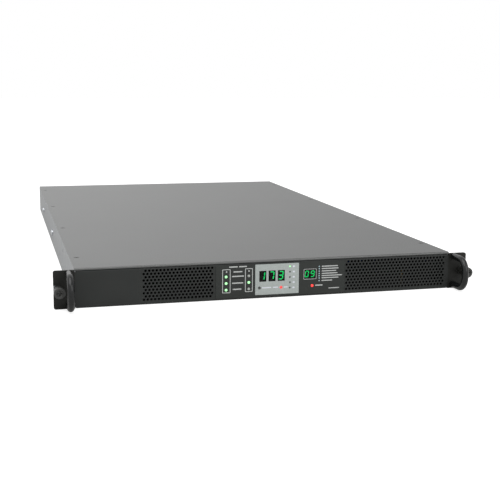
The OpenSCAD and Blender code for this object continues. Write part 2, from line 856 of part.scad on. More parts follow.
// Captive screw: knurled head with a driver recess, collar, neck through the notch, threaded shank.
module thumbscrew() {
    head_y = front_y - knob_reach;
    head_end = head_y + knob_l;
    knurl_r = 0.6;
    dish = [3.4, 0.8];
    driver = [4.8, 1.1, 2.6];
    color("#1d1d1b") translate([notch_x, 0, notch_z]) difference() {
        union() {
            rod_y(knob_d / 2 - knurl_r + 0.1, head_y, head_end, 48);
            for (i = [0:knurls - 1]) rotate([0, i * 360 / knurls, 0]) translate([0, 0, knob_d / 2 - knurl_r])
                rod_y(knurl_r, head_y + 0.8, head_end - knurl_r, 16);
            rod_y(knob_d / 2 - 1.4, head_end, front_y - 0.6, 32);
            rod_y(neck_d / 2, front_y - 1, washer_y - touch, 32);
            rod_y(shank_d / 2, washer_y - 1, washer_y + washer_t + shank_l, 32);
        }
        rod_y(dish[0], head_y - 1, head_y + dish[1], 32);
        for (a = [0, 90]) rotate([0, a, 0]) translate([-driver[0] / 2, head_y, -driver[1] / 2])
            cube([driver[0], driver[2], driver[1]]);
        // groove for the retaining ring
        translate([0, ring_y - 0.01, 0]) rotate([-90, 0, 0]) difference() {
            cylinder(r = shank_d, h = ring_t + 0.02, $fn = 32);
            translate([0, 0, -1]) cylinder(r = groove_r, h = ring_t + 2, $fn = 32);
        }
    }
}

module thumbscrew_right() {
    thumbscrew();
}

module thumbscrew_left() {
    mirror([1, 0, 0]) thumbscrew();
}

module retaining_ring() {
    color("gray") translate([notch_x, ring_y, notch_z]) rotate([-90, 0, 0])
        linear_extrude(ring_t) difference() {
            circle(ring_r, $fn = 32);
            circle(groove_r, $fn = 32);
            translate([0, -1]) square([ring_r + 1, 2]);
        }
}

module retaining_ring_right() {
    retaining_ring();
}

module retaining_ring_left() {
    mirror([1, 0, 0]) retaining_ring();
}

module notch_washers() {
    color("silver") for (s = [-1, 1]) plate_y(washer_y, washer_y + washer_t) translate([s * notch_x, notch_z])
        difference() {
            intersection() {
                circle(washer_r);
                square([2 * notch_inset - 0.4, 4 * washer_r], center = true);
            }
            circle(shank_d / 2 + touch, $fn = 32);
        }
}

module side_screws() {
    color("silver") for (s = [-1, 1], p = side_screw_at)
        translate([s * wall_x, front_y + p[0], p[1]]) rotate([0, s * 90, 0]) {
            translate([0, 0, -6]) cylinder(r = m4_r, h = 6.1, $fn = 20);
            pan_head(4.2, 2.6);
        }
}

// ---------------------------------------------------------------- fans

module fan_frames() {
    color("#232323") for (x = fan_x) difference() {
        union() {
            plate_y(fan_y0, fan_y1) translate([x, fan_z]) difference() {
                rounded(-fan_w / 2, -fan_w / 2, fan_w / 2, fan_w / 2, 3);
                circle(d = fan_bore_d);
                for (a = [0:90:270]) rotate(a) translate([fan_hole, fan_hole]) circle(fan_thread_r, $fn = 16);
            }
            plate_y(fan_y0, fan_y0 + fan_strut_t) translate([x, fan_z]) {
                circle(fan_hub_r);
                for (a = [0:90:270]) rotate(a) translate([0, -1]) square([fan_bore_d / 2 + 0.5, 2]);
            }
            translate([x, 0, fan_z]) rod_y(bearing_r, fan_y0 + fan_strut_t - 1, fan_y0 + bearing_l);
        }
        translate([x, 0, fan_z]) rod_y(fan_shaft_r + touch, fan_y0 + 1, fan_y0 + bearing_l + 1, 24);
    }
}

// Cambered blade: the part of a thin tube, lying along the radius, that crosses the blade's place.
module fan_blade(r_tip) {
    camber_r = 16;
    intersection() {
        translate([0, 11, -7.8]) rotate([0, 90, 0]) difference() {
            cylinder(r = camber_r + 0.6, h = r_tip + 2, $fn = 64);
            translate([0, 0, -1]) cylinder(r = camber_r - 0.6, h = r_tip + 4, $fn = 64);
        }
        translate([fan_hub_r - 1, -6.5, -6.8]) cube([r_tip, 13, 13.6]);
        translate([0, 0, -7]) cylinder(r = r_tip, h = 14);
    }
}

module fan_rotor(i) {
    half = fan_hub_l / 2;
    color("#2e2e2e") translate([fan_x[i], fan_rotor_y, fan_z]) rotate([-90, 0, 0]) {
        difference() {
            translate([0, 0, -half]) cylinder(r = fan_hub_r, h = fan_hub_l);
            translate([0, 0, -half - 1]) cylinder(r = fan_hub_r - fan_hub_wall, h = fan_hub_l - 3);
        }
        translate([0, 0, -half - 2]) cylinder(r = fan_shaft_r, h = fan_hub_l + 1, $fn = 24);
        for (k = [0:blades - 1]) rotate(k * 360 / blades) fan_blade(fan_bore_d / 2 - tip_gap);
    }
}

module fan_rotor_1() {
    fan_rotor(0);
}

module fan_rotor_2() {
    fan_rotor(1);
}

module fan_rotor_3() {
    fan_rotor(2);
}

module finger_guards() {
    corner = fan_hole * sqrt(2);
    wire_z = guard_foot_t + 0.2;
    color("silver") for (x = fan_x) translate([x, back_y, fan_z]) rotate([-90, 0, 0]) {
        for (r = guard_rings) translate([0, 0, wire_z]) rotate_extrude($fn = 48)
            translate([r, 0]) circle(guard_wire, $fn = 16);
        for (a = [45:90:315]) rotate(a) {
            translate([guard_rings[0] - 0.6, 0, 1.1]) rotate([0, 90, 0])
                cylinder(r = 0.8, h = corner - guard_rings[0] - 1.4, $fn = 16);
            translate([corner, 0, 0]) difference() {
                cylinder(r = 3, h = guard_foot_t, $fn = 24);
                translate([0, 0, -1]) cylinder(r = 1.7, h = 4, $fn = 20);
            }
        }
    }
}

module fan_screws() {
    color("silver") for (x = fan_x, sx = [-1, 1], sz = [-1, 1])
        translate([x + sx * fan_hole, back_y + guard_foot_t, fan_z + sz * fan_hole]) {
            rotate([-90, 0, 0]) pan_head(fan_head[0], fan_head[1]);
            rod_y(fan_screw_r, -fan_screw_l, 0.1, 16);
        }
}

// ---------------------------------------------------------------- rear sockets

// Moulded body: flange outside the rear panel, body inside it, drawn in x-z.
module socket_body(x, size) {
    w = size[0] / 2 + flange_over[0];
    h = size[1] / 2 + flange_over[1];
    plate_y(back_y, back_y + socket_flange) translate([x, socket_z]) rounded(-w, -h, w, h, 1.5);
    plate_y(back_y - sheet_t - socket_depth, back_y + 0.01) translate([x, socket_z]) rect(size[0], size[1]);
}

module power_inlets() {
    color("#262626") for (x = inlet_at) difference() {
        socket_body(x, inlet_size);
        plate_y(back_y - inlet_recess_d, back_y + 5) translate([x, socket_z])
            keyed(inlet_recess[0], inlet_recess[1], 4);
        for (p = blade_places(x)) plate_y(back_y - 40, back_y) translate(p)
            rect(blade_size[0] + 2 * touch, blade_size[1] + 2 * touch);
    }
}

function blade_places(x) = [
    [x - blade_gap / 2, socket_z - blade_z], [x + blade_gap / 2, socket_z - blade_z], [x, socket_z + blade_z],
];

module inlet_pins() {
    y1 = back_y - sheet_t - socket_depth;
    color("silver") for (x = inlet_at, p = blade_places(x)) {
        plate_y(y1, back_y - blade_back) translate(p) rect(blade_size[0], blade_size[1]);
        plate_y(y1 - inlet_tab_l, y1) translate(p) rect(tab_w, tab_t);
    }
}

// Outlet: a moat for the plug's shroud round a core with three slots.
module outlet_body(x, size, moat, core, slots, slot) {
    difference() {
        socket_body(x, size);
        plate_y(back_y - moat_d, back_y + 5) translate([x, socket_z]) difference() {
            keyed(moat[0], moat[1], 3.6);
            keyed(core[0], core[1], 2.2);
        }
        for (p = slots) plate_y(back_y - slot_d, back_y + 5) translate([x + p[0], socket_z + p[1]])
            rect(slot[0], slot[1]);
    }
}

module small_outlets() {
    color("#262626") for (i = [0:outlets - 1]) {
        x = outlet_x0 + i * outlet_pitch;
        outlet_body(x, outlet_size, small_moat, small_core, small_slots, small_slot);
    }
}

module large_outlet() {
    color("#262626") outlet_body(large_x, large_size, large_moat, large_core, large_slots, large_slot);
}

module socket_tabs() {
    y0 = outlet_board_y + board_t;
    y1 = back_y - sheet_t - socket_depth;
    small_x = [for (i = [0:outlets - 1], p = small_slots) outlet_x0 + i * outlet_pitch + p[0]];
    large_tab_x = [for (p = large_slots) large_x + p[0]];
    color("gold") for (x = concat(small_x, large_tab_x)) plate_y(y0, y1) translate([x, socket_z])
        rect(tab_t, tab_w);
}

module outlet_board() {
    x = [outlet_x0 - large_size[0] / 2, large_x + large_size[0] / 2];
    color("darkgreen") box(x, [outlet_board_y, outlet_board_y + board_t], outlet_board_z);
}

module breaker_bodies() {
    y1 = back_y - sheet_t;
    color("#2a2a2a") for (x = breaker_at) difference() {
        union() {
            box([x - breaker_w / 2, x + breaker_w / 2], [y1 - breaker_body, y1],
                [breaker_z - breaker_body / 2, breaker_z + breaker_body / 2]);
            translate([x, 0, breaker_z]) rod_y(breaker_neck_r, y1 - 1, back_y + breaker_neck_l, 32);
        }
        translate([x, 0, breaker_z]) {
            rod_y(reset_r + touch, back_y - reset_room, back_y + breaker_neck_l + 1, 32);
            rod_y(reset_collar_r + touch, back_y - reset_room, back_y - reset_step, 32);
        }
        // slots of the two rear terminals
        for (dz = [-9, 9]) box([x - 3.3, x + 3.3], [y1 - breaker_body - 1, y1 - breaker_body + 4],
            [breaker_z + dz - 0.5, breaker_z + dz + 0.5]);
    }
}

module breaker_nuts() {
    color("silver") for (x = breaker_at) plate_y(back_y, back_y + 3) translate([x, breaker_z]) difference() {
        circle(7, $fn = 6);
        circle(4.8, $fn = 32);
    }
}

module reset_button(x) {
    y0 = back_y - reset_room + 1;
    color("#e8e8e4") translate([x, 0, breaker_z]) {
        rod_y(reset_r, y0, back_y + reset_proud, 32);
        rod_y(reset_collar_r, y0, back_y - reset_step - reset_travel - 0.2, 32);
    }
}

module reset_button_a() {
    reset_button(breaker_at[0]);
}

module reset_button_b() {
    reset_button(breaker_at[1]);
}

module network_jack() {
    color("#b8b8b4") difference() {
        plate_y(back_y - jack_depth, back_y + jack_proud) translate([jack_x, jack_z])
            rect(jack_size[0], jack_size[1]);
        plate_y(back_y - jack_mouth_d, back_y + 1) translate([jack_x, jack_z]) {
            translate([0, jack_mouth_z]) rect(jack_mouth[0], jack_mouth[1]);
            translate([0, -4]) rect(jack_latch[0], jack_latch[1]);
        }
    }
}

module earth_stud() {
    color("gold") {
        // stud of one diameter with its hex collar, one turned piece
        translate([jack_x, 0, stud_z])
            rod_y(stud_d / 2, back_y - sheet_t - 5, back_y + stud_collar_t + stud_free, 32);
        plate_y(back_y, back_y + stud_collar_t) translate([jack_x, stud_z]) circle(stud_collar_r, $fn = 6);
        // nut behind the panel
        plate_y(back_y - sheet_t - 3, back_y - sheet_t) translate([jack_x, stud_z]) difference() {
            circle(stud_collar_r, $fn = 6);
            circle(stud_d / 2 + touch, $fn = 32);
        }
    }
}

// ---------------------------------------------------------------- boards inside

module board(x, y, holes) {
    difference() {
        box(x, [front_y + y[0], front_y + y[1]], [board_z, top_z]);
        for (p = holes) translate([p[0], p[1], board_z - 1])
            cylinder(r = m3_hole_r, h = board_t + 2, $fn = 16);
    }
}

function corners(x, y) = [for (px = [x[0] + pillar_inset, x[1] - pillar_inset],
    py = [front_y + y[0] + pillar_inset, front_y + y[1] - pillar_inset]) [px, py]];

module filter_board() {
    color("darkgreen") board(filter_x, filter_y, corners(filter_x, filter_y));
}

module control_board() {
    color("darkgreen") board(control_x, control_y, corners(control_x, control_y));
}

module board_pillars() {
    color("gold") {
        for (p = concat(corners(filter_x, filter_y), corners(control_x, control_y)))
            translate([p[0], p[1], floor_z]) {
                cylinder(d = pillar_d, h = pillar_h, $fn = 24);
                cylinder(r = m3_r, h = pillar_h + board_t + 0.1, $fn = 16);
                translate([0, 0, pillar_h + board_t]) cylinder(r = 2.8, h = 2, $fn = 20);
            }
        for (x = display_pillar_x, z = display_pillar_z) translate([x, 0, z]) {
            rod_y(2, panel_inner_y, front_y + display_board_y, 20);
            rod_y(1.1, panel_inner_y, front_y + display_board_y + board_t + 0.1, 16);
            rod_y(2, front_y + display_board_y + board_t, front_y + display_board_y + board_t + 1.5, 20);
        }
    }
}

// Toroidal choke: a wound ring that lies flat.
module filter_chokes() {
    color("#8a4a22") for (i = [0:chokes - 1])
        translate([filter_x[0] + choke_at[0] + i * choke_pitch, front_y + filter_y[0] + choke_at[1], top_z])
            rotate_extrude() rounded(choke_r[0], 0, choke_r[1], choke_h, choke_edge_r);
}

module film_capacitors() {
    x = filter_x[0] + capacitor_at[0];
    y = front_y + filter_y[0] + capacitor_at[1];
    color("#b8a020") for (i = [0:capacitors - 1]) translate([x, y + i * capacitor_pitch, top_z])
            linear_extrude(capacitor_size[2]) rounded(0, 0, capacitor_size[0], capacitor_size[1], 1.5);
}

module surge_arresters() {
    z = top_z + lead_h + arrester_r;
    color("#2b54a8") for (i = [0:arresters - 1])
        translate([filter_x[0] + arrester_at[0] + i * arrester_pitch, front_y + filter_y[0] + arrester_at[1], 0]) {
            translate([0, 0, z]) rotate([0, 90, 0]) cylinder(r = arrester_r, h = arrester_t);
            for (s = [-1, 1]) translate([arrester_t / 2, s * lead_gap / 2, top_z])
                cylinder(r = lead_r, h = 2 * lead_h, $fn = 16);
        }
}

module control_transformer() {
    x = control_x[0] + transformer_at[0];
    y = front_y + control_y[0] + transformer_at[1];
    mid = core_size[0] / 2;
    coil_x = mid - core_leg / 2 - core_window[0] + 0.2;
    color("#7d7d78") translate([x, y, top_z]) transformer_core();
    color("#c9a050") translate([x, y, top_z]) difference() {
        box([coil_x, core_size[0] - coil_x], [-coil_over, core_size[1] + coil_over],
            [core_leg - 0.3, core_size[2] - core_leg + 0.3]);
        transformer_core(0.1);
    }
}

// Stack of laminations: a frame with two windows and a leg between them.
module transformer_core(gap = 0) {
    plate_y(-gap, core_size[1] + gap) difference() {
        square([core_size[0], core_size[2]]);
        for (s = [-1, 1])
            translate([core_size[0] / 2 + s * (core_leg + core_window[0]) / 2, core_size[2] / 2])
                rect(core_window[0] - 2 * gap, core_window[1] - 2 * gap);
    }
}

module control_parts() {
    color("#333333") {
        for (i = [0:chips - 1])
            translate([control_x[0] + chip_at[0], front_y + control_y[0] + chip_at[1] + i * chip_pitch, 0])
                box([0, chip_size + chip_step * i], [0, chip_size + chip_step * i], [top_z, top_z + chip_t]);
        for (i = [0:cans - 1])
            translate([control_x[0] + can_at[0] + i * can_pitch, front_y + control_y[0] + can_at[1], top_z]) can();
        box(ribbon_x, [ribbon_y1, ribbon_y1 + header_l], [top_z, top_z + header_h]);
    }
}

// Electrolytic capacitor: a can with a waist near its foot.
module can() {
    rotate_extrude($fn = 32) difference() {
        square([can_r, can_h]);
        translate([can_r + 0.4, 2.6]) circle(0.9, $fn = 16);
    }
}

// Flat cable from the display board's header down to the header on the control board.
module ribbon_cable() {
    z0 = 20.5;
    z1 = top_z + 5;
    bend0 = ribbon_y0 + 12;
    bend1 = ribbon_y1 - 20;
    color("#9aa0a8") plate_x(ribbon_x[0] + 1, ribbon_x[1] - 1) polygon([
        [ribbon_y0, z0], [bend0, z0], [bend1, z1], [ribbon_y1, z1],
        [ribbon_y1, z1 + ribbon_t], [bend1 + 0.2, z1 + ribbon_t], [bend0 + 0.2, z0 + ribbon_t],
        [ribbon_y0, z0 + ribbon_t],
    ]);
}

// ---------------------------------------------------------------- switching stage

module heat_sinks() {
    fins = floor((sink_w - landing) / 2 / fin_pitch);
    color("silver") for (p = sink_from_back)
        plate_y(back_y - p[0], back_y - p[1]) translate([sink_x, floor_z]) {
            translate([-sink_w / 2, 0]) square([sink_w, sink_base]);
            for (side = [-1, 1], i = [0:fins - 1]) {
                x = side * (sink_w / 2 - fin_t / 2 - i * fin_pitch) - fin_t / 2;
                translate([x, sink_base / 2]) square([fin_t, sink_h - sink_base / 2]);
            }
        }
}

function module_x(i) = sink_x + (i - 0.5) * module_gap;

module thyristor_modules() {
    color("#1f1f1f") for (m = module_from_back, i = [0, 1])
        translate([module_x(i), back_y - m, floor_z + sink_base]) thyristor_module();
}

// Base plate, housing with a shoulder all round, and a terminal post at each end.
module thyristor_module() {
    w = module_w / 2;
    h = bar_z - floor_z - sink_base;
    linear_extrude(module_base_t) rounded(-w, 0, w, module_l, 2);
    linear_extrude(h - post_h)
        rounded(-w + module_shoulder, module_shoulder, w - module_shoulder, module_l - module_shoulder, 2);
    for (y = [0, module_l - pad]) linear_extrude(h)
        rounded(-bar_w / 2 - 1, y + 0.2, bar_w / 2 + 1, y + pad - 0.2, 1);
}

module backfeed_relays() {
    color("#3b5f8f") for (i = [0, 1])
        translate([inlet_at[i], back_y - relay_from_back[i], floor_z]) backfeed_relay();
}

// Sealed case with rounded corners, two posts at each end and a barrier between the posts.
module backfeed_relay() {
    w = relay_w / 2;
    h = bar_z - floor_z;
    linear_extrude(h - post_h) rounded(-w, 0, w, relay_l, relay_r);
    for (y = [0, relay_l - pad]) {
        for (s = [-1, 1]) translate([s * blade_gap / 2, 0, 0]) linear_extrude(h)
            rounded(-bar_w / 2 - 0.6, y + 0.2, bar_w / 2 + 0.6, y + pad - 0.2, 1);
        translate([0, 0, 1]) linear_extrude(h + barrier_h - 1)
            rounded(-barrier_t / 2, y + 0.2, barrier_t / 2, y + pad - 0.2, 0.8);
    }
}

// Current sensor: a block that stands on the floor with a window round the bar.
module current_sensors() {
    color("#333a44") for (i = [0, 1]) {
        x = inlet_at[i] - blade_gap / 2;
        y = back_y - sensor_from_back[i];
        difference() {
            box([x - sensor_w / 2, x + sensor_w / 2], [y, y + sensor_l], [floor_z, bar_z + sensor_h]);
            box([x - bar_w / 2 - fit, x + bar_w / 2 + fit], [y - 1, y + sensor_l + 1],
                [bar_z - fit, bar_z + bar_t + fit]);
        }
    }
}

module flat_bar(x, y) {
    box([min(x), max(x)], [min(y), max(y)], [bar_z, bar_z + bar_t]);
}

// Copper bars of both sources: inlet to relay, then relay to the thyristor modules.
module source_bars() {
    w = bar_w / 2;
    inlet_end = back_y - sheet_t - socket_depth - 2;
    color("#b87333") for (i = [0, 1], k = [0, 1]) {
        x = inlet_at[i] + (k - 0.5) * blade_gap;
        relay_back = back_y - relay_from_back[i] + relay_l;
        relay_front = back_y - relay_from_back[i];
        run = back_y - run_from_back[i][k];
        end_x = module_x(i == 0 ? k : 1 - k);
        end_y = i == 0 ? back_y - module_from_back[0] + module_l - pad : back_y - module_from_back[1] + pad;
        flat_bar([x - w, x + w], [relay_back - pad, inlet_end]);
        union() {
            flat_bar([x - w, x + w], [run, relay_front + pad]);
            flat_bar([x - w, end_x + w], [run, run + bar_w]);
            flat_bar([end_x - w, end_x + w], [min(run, end_y), max(run + bar_w, end_y)]);
        }
    }
}

// Output bars: a bridge over the source bars, then a run to the outlet board.
module output_bars() {
    w = bar_w / 2;
    a = back_y - module_from_back[0];
    b = back_y - module_from_back[1] + module_l;
    color("#b87333") for (k = [0, 1]) {
        x = module_x(k);
        run = back_y - output_run_from_back[k];
        plate_x(x - w, x + w) {
            translate([a, bar_z]) square([pad, bar_t]);
            translate([a + pad - bar_t, bar_z]) square([bar_t, output_z + bar_t - bar_z]);
            translate([a + pad - bar_t, output_z]) square([b - a - 2 * pad + 2 * bar_t, bar_t]);
            translate([b - pad, bar_z]) square([bar_t, output_z + bar_t - bar_z]);
            translate([b - pad, bar_z]) square([run + bar_w - b + pad, bar_t]);
        }
        flat_bar([output_tab_x[k], x + w], [run, run + bar_w]);
        flat_bar([output_tab_x[k], output_tab_x[k] + bar_w], [run, outlet_board_y]);
    }
}

chassis_tray();
top_cover();
cover_screws();
front_panel();
display_overlay();
meter_fascia();
display_windows();
digit_modules();
digit_segments();
green_lamps();
dark_lamps();
red_lamps();
display_board();
button_switch();
select_button();
ear_left();
ear_right();
handle_left();
handle_right();
handle_screws();
ear_screws();
thumbscrew_left();
thumbscrew_right();
retaining_ring_left();
retaining_ring_right();
notch_washers();
side_screws();
fan_frames();
fan_rotor_1();
fan_rotor_2();
fan_rotor_3();
finger_guards();
fan_screws();
power_inlets();
inlet_pins();
small_outlets();
large_outlet();
outlet_board();
socket_tabs();
breaker_bodies();
breaker_nuts();
reset_button_a();
reset_button_b();
network_jack();
earth_stud();
filter_board();
filter_chokes();
film_capacitors();
surge_arresters();
control_board();
control_parts();
control_transformer();
board_pillars();
ribbon_cable();
heat_sinks();
thyristor_modules();
backfeed_relays();
current_sensors();
source_bars();
output_bars();
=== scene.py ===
"""Finishes, print and small turned parts of a rack static transfer switch.

Everything is in the switch's own frame: X across the rack, Y from the front panel to the rear, Z up.
Sizes inside the shape functions are in millimetres and become metres in make_piece.
"""

import math

import bmesh
import bpy
import numpy as np
from mathutils import Matrix, Vector


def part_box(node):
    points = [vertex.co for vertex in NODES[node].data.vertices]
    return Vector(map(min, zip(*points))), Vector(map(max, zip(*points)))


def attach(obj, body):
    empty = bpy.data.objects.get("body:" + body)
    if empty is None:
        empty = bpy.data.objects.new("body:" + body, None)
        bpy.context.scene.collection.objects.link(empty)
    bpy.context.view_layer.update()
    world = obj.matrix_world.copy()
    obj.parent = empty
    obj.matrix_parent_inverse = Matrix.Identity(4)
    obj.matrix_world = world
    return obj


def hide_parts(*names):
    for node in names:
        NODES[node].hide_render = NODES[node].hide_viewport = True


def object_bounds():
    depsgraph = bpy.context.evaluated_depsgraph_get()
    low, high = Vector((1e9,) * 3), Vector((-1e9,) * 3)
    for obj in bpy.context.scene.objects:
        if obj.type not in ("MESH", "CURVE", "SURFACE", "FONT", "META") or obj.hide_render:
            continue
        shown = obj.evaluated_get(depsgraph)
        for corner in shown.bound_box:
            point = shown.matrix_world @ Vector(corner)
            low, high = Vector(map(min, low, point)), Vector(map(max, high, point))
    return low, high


bl_info = {
    "name": "Rack transfer switch",
    "version": (1, 0, 0),
    "blender": (4, 5, 0),
    "location": "View3D > Sidebar > Switch",
    "description": "Finishes, print and small turned parts of a rack static transfer switch",
    "category": "Object",
}

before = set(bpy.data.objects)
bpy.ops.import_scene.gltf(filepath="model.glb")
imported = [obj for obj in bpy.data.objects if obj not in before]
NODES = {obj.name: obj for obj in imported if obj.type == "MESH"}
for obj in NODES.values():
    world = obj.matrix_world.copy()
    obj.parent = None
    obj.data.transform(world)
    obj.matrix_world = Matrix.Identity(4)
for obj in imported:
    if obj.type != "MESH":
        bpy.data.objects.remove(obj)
CAD_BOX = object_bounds()
MM = 0.001
TURN = 2 * math.pi

PANEL_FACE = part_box("front_panel")[0].y / MM
OVERLAY_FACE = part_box("display_overlay")[0].y / MM
FASCIA_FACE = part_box("meter_fascia")[0].y / MM
REAR_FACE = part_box("chassis_tray")[1].y / MM


# ---------------------------------------------------------------- sizes and colours


class SwitchSizes(bpy.types.PropertyGroup):
    """Sizes of what is printed, turned and bent."""

    ink_height: bpy.props.FloatProperty(
        name="Ink height", description="How far the print stands on the film, in mm", default=0.03
    )
    line_width: bpy.props.FloatProperty(
        name="Line width", description="Width of the printed outlines, in mm", default=0.75
    )
    label_height: bpy.props.FloatProperty(
        name="Label height", description="Height of a plain label bar, in mm", default=1.35
    )
    small_label_height: bpy.props.FloatProperty(
        name="Small label height", description="Height of a bar in the alarm list, in mm", default=1.15
    )
    handle_bend: bpy.props.FloatProperty(
        name="Handle bend", description="Radius of the handle's bends along its middle, in mm", default=14.0
    )
    knurl_depth: bpy.props.FloatProperty(
        name="Knurl depth", description="Depth of the grooves on a thumbscrew's head, in mm", default=0.3
    )
    m6_pitch: bpy.props.FloatProperty(
        name="M6 pitch", description="Pitch of the thumbscrew's thread, in mm", default=1.0
    )
    m5_pitch: bpy.props.FloatProperty(
        name="M5 pitch", description="Pitch of the earth stud's thread, in mm", default=0.8
    )


class SwitchColours(bpy.types.PropertyGroup):
    """Colours of the finishes, as sRGB hex values."""

    coat: bpy.props.StringProperty(name="Cover coat", description="Top cover", default="#2b2d2c")
    panel_coat: bpy.props.StringProperty(name="Panel coat", description="Front panel", default="#252726")
    # the ears get a darker colour than the front panel's coat
    ear_coat: bpy.props.StringProperty(name="Ear coat", description="Rack ears", default="#141512")
    handle: bpy.props.StringProperty(name="Handle enamel", description="Bar handles", default="#0b0d0e")
    zinc_sheet: bpy.props.StringProperty(name="Galvanised sheet", description="Chassis", default="#95979a")
    overlay: bpy.props.StringProperty(name="Display film", description="Film on the panel", default="#272a28")
    silver: bpy.props.StringProperty(
        name="Silver film", description="Plate round the meter", default="#a0a6a4"
    )
    light_ink: bpy.props.StringProperty(name="Light ink", description="Print on the film", default="#b4b6b5")
    pale_ink: bpy.props.StringProperty(name="Pale ink", description="Print on the plate", default="#cfd2da")
    blue_ink: bpy.props.StringProperty(name="Cool ink", description="Marks in the list", default="#9db4bb")
    digit: bpy.props.StringProperty(name="Digit", description="Lit segments", default="#18e070")
    green: bpy.props.StringProperty(name="Green lamp", description="Lit lamps", default="#a8f4ac")
    red: bpy.props.StringProperty(name="Red lamp", description="Lit alarm lamps", default="#ff3a36")


class StageSettings(bpy.types.PropertyGroup):
    """Camera, lamps and backdrop."""

    camera_at: bpy.props.FloatVectorProperty(
        name="Camera", description="Place of the camera", subtype="XYZ", unit="LENGTH",
        default=(-0.29575, -1.38263, 0.24896),
    )
    camera_yaw: bpy.props.FloatProperty(
        name="Yaw", description="Turn to the right of straight ahead", subtype="ANGLE", default=0.2640
    )
    camera_pitch: bpy.props.FloatProperty(
        name="Pitch", description="Tilt below level", subtype="ANGLE", default=0.1838
    )
    camera_roll: bpy.props.FloatProperty(
        name="Roll", description="Turn about the line of sight", subtype="ANGLE", default=0.0078
    )
    lens: bpy.props.FloatProperty(name="Lens", description="Focal length in mm", default=68.14)
    world_level: bpy.props.FloatProperty(
        name="World level", description="Soft light from all round", default=0.62
    )
    key_power: bpy.props.FloatProperty(name="Key lamp", description="Large lamp above", default=42.0)
    fill_power: bpy.props.FloatProperty(name="Fill lamp", description="Large lamp in front", default=20.0)


# ---------------------------------------------------------------- shader helpers


def linear(hex_colour, alpha=1.0):
    """sRGB hex to linear RGBA: c / 12.92 below 0.04045, else ((c + 0.055) / 1.055) to the power 2.4."""
    values = [int(hex_colour[i : i + 2], 16) / 255 for i in (1, 3, 5)]
    return tuple(v / 12.92 if v <= 0.04045 else ((v + 0.055) / 1.055) ** 2.4 for v in values) + (alpha,)


def add(tree, kind, inputs=None, **settings):
    """Adds a shader node with its settings, and gives each named input a value or a link."""
    made = tree.nodes.new(kind)
    for key, value in settings.items():
        setattr(made, key, value)
    for key, value in (inputs or {}).items():
        if isinstance(value, bpy.types.NodeSocket):
            tree.links.new(value, made.inputs[key])
        else:
            made.inputs[key].default_value = value
    return made


def new_material(name, **values):
    """An empty material with a Principled shader whose constant values are set on its own sockets."""
    made = bpy.data.materials.new(name)
    made.use_nodes = True
    tree = made.node_tree
    tree.nodes.clear()
    shader = add(tree, "ShaderNodeBsdfPrincipled", {k.replace("_", " "): v for k, v in values.items()})
    add(tree, "ShaderNodeOutputMaterial", {"Surface": shader.outputs["BSDF"]})
    place = add(tree, "ShaderNodeTexCoord").outputs["Object"]
    return made, tree, shader, place


def set_input(tree, shader, name, socket):
    """Links a socket to one of the shader's inputs."""
    tree.links.new(socket, shader.inputs[name])


def speckle(tree, place, size_mm, detail=2.0):
    """Noise whose grains are about size_mm across."""
    return add(
        tree, "ShaderNodeTexNoise", {"Vector": place, "Scale": 1 / (size_mm * MM), "Detail": detail}
    ).outputs["Fac"]


def ranged(tree, value, low, high):
    """Maps 0.3 to 0.7, where noise mostly lies, to low to high."""
    span = {"Value": value, "From Min": 0.3, "From Max": 0.7, "To Min": low, "To Max": high}
    return add(tree, "ShaderNodeMapRange", span).outputs["Result"]


def two_tone(tree, value, first, second):
    """Blends two colours by value, from 0.35 to 0.65."""
    ramp = add(tree, "ShaderNodeValToRGB", {"Fac": value})
    ramp.color_ramp.elements[0].position = 0.35
    ramp.color_ramp.elements[0].color = first
    ramp.color_ramp.elements[1].position = 0.65
    ramp.color_ramp.elements[1].color = second
    return ramp.outputs["Color"]


def bumped(tree, shader, height, depth_mm, strength=1.0):
    """Gives the shader a bump of that depth."""
    bump = add(tree, "ShaderNodeBump", {"Height": height, "Distance": depth_mm * MM, "Strength": strength})
    set_input(tree, shader, "Normal", bump.outputs["Normal"])


def shade(colour, factor):
    """The same linear colour, lighter or darker."""
    return tuple(c * factor for c in colour[:3]) + (colour[3],)


# ---------------------------------------------------------------- finishes


def powder_coat(name, colour, rough, ior, grain_mm=1.4, depth_mm=0.02):
    """Polyester powder coat: flow leaves an orange peel, here coarser than a real one so that it shows."""
    made, tree, shader, place = new_material(name, IOR=ior)
    base = linear(colour)
    grain = speckle(tree, place, grain_mm, 3.0)
    cloud = speckle(tree, place, 55.0, 1.0)
    set_input(tree, shader, "Base Color", two_tone(tree, cloud, shade(base, 0.93), shade(base, 1.07)))
    set_input(tree, shader, "Roughness", ranged(tree, grain, rough - 0.05, rough + 0.06))
    bumped(tree, shader, grain, depth_mm, 0.5)
    return made


def enamel(name, colour):
    """Gloss stoving enamel on a bent bar: nearly a mirror, with the softest ripple."""
    made, tree, shader, place = new_material(name, IOR=1.36, Coat_Weight=0.25, Coat_Roughness=0.08)
    base = linear(colour)
    ripple = speckle(tree, place, 3.0, 1.0)
    set_input(tree, shader, "Base Color", two_tone(tree, ripple, shade(base, 0.9), shade(base, 1.1)))
    set_input(tree, shader, "Roughness", ranged(tree, ripple, 0.24, 0.34))
    bumped(tree, shader, ripple, 0.01, 0.3)
    return made


def galvanised(name, colour):
    """Hot-dip galvanised sheet: frozen zinc crystals 4 to 8 mm across catch the light at different angles."""
    made, tree, shader, place = new_material(name, Metallic=1.0)
    base = linear(colour)
    spangle = add(tree, "ShaderNodeTexVoronoi", {"Vector": place, "Scale": 1 / (6 * MM)})
    tone = add(tree, "ShaderNodeSeparateColor", {"Color": spangle.outputs["Color"]}).outputs["Red"]
    fine = speckle(tree, place, 0.8, 3.0)
    set_input(tree, shader, "Base Color", two_tone(tree, tone, shade(base, 0.9), shade(base, 1.06)))
    set_input(tree, shader, "Roughness", ranged(tree, tone, 0.36, 0.48))
    bumped(tree, shader, fine, 0.01, 0.4)
    return made


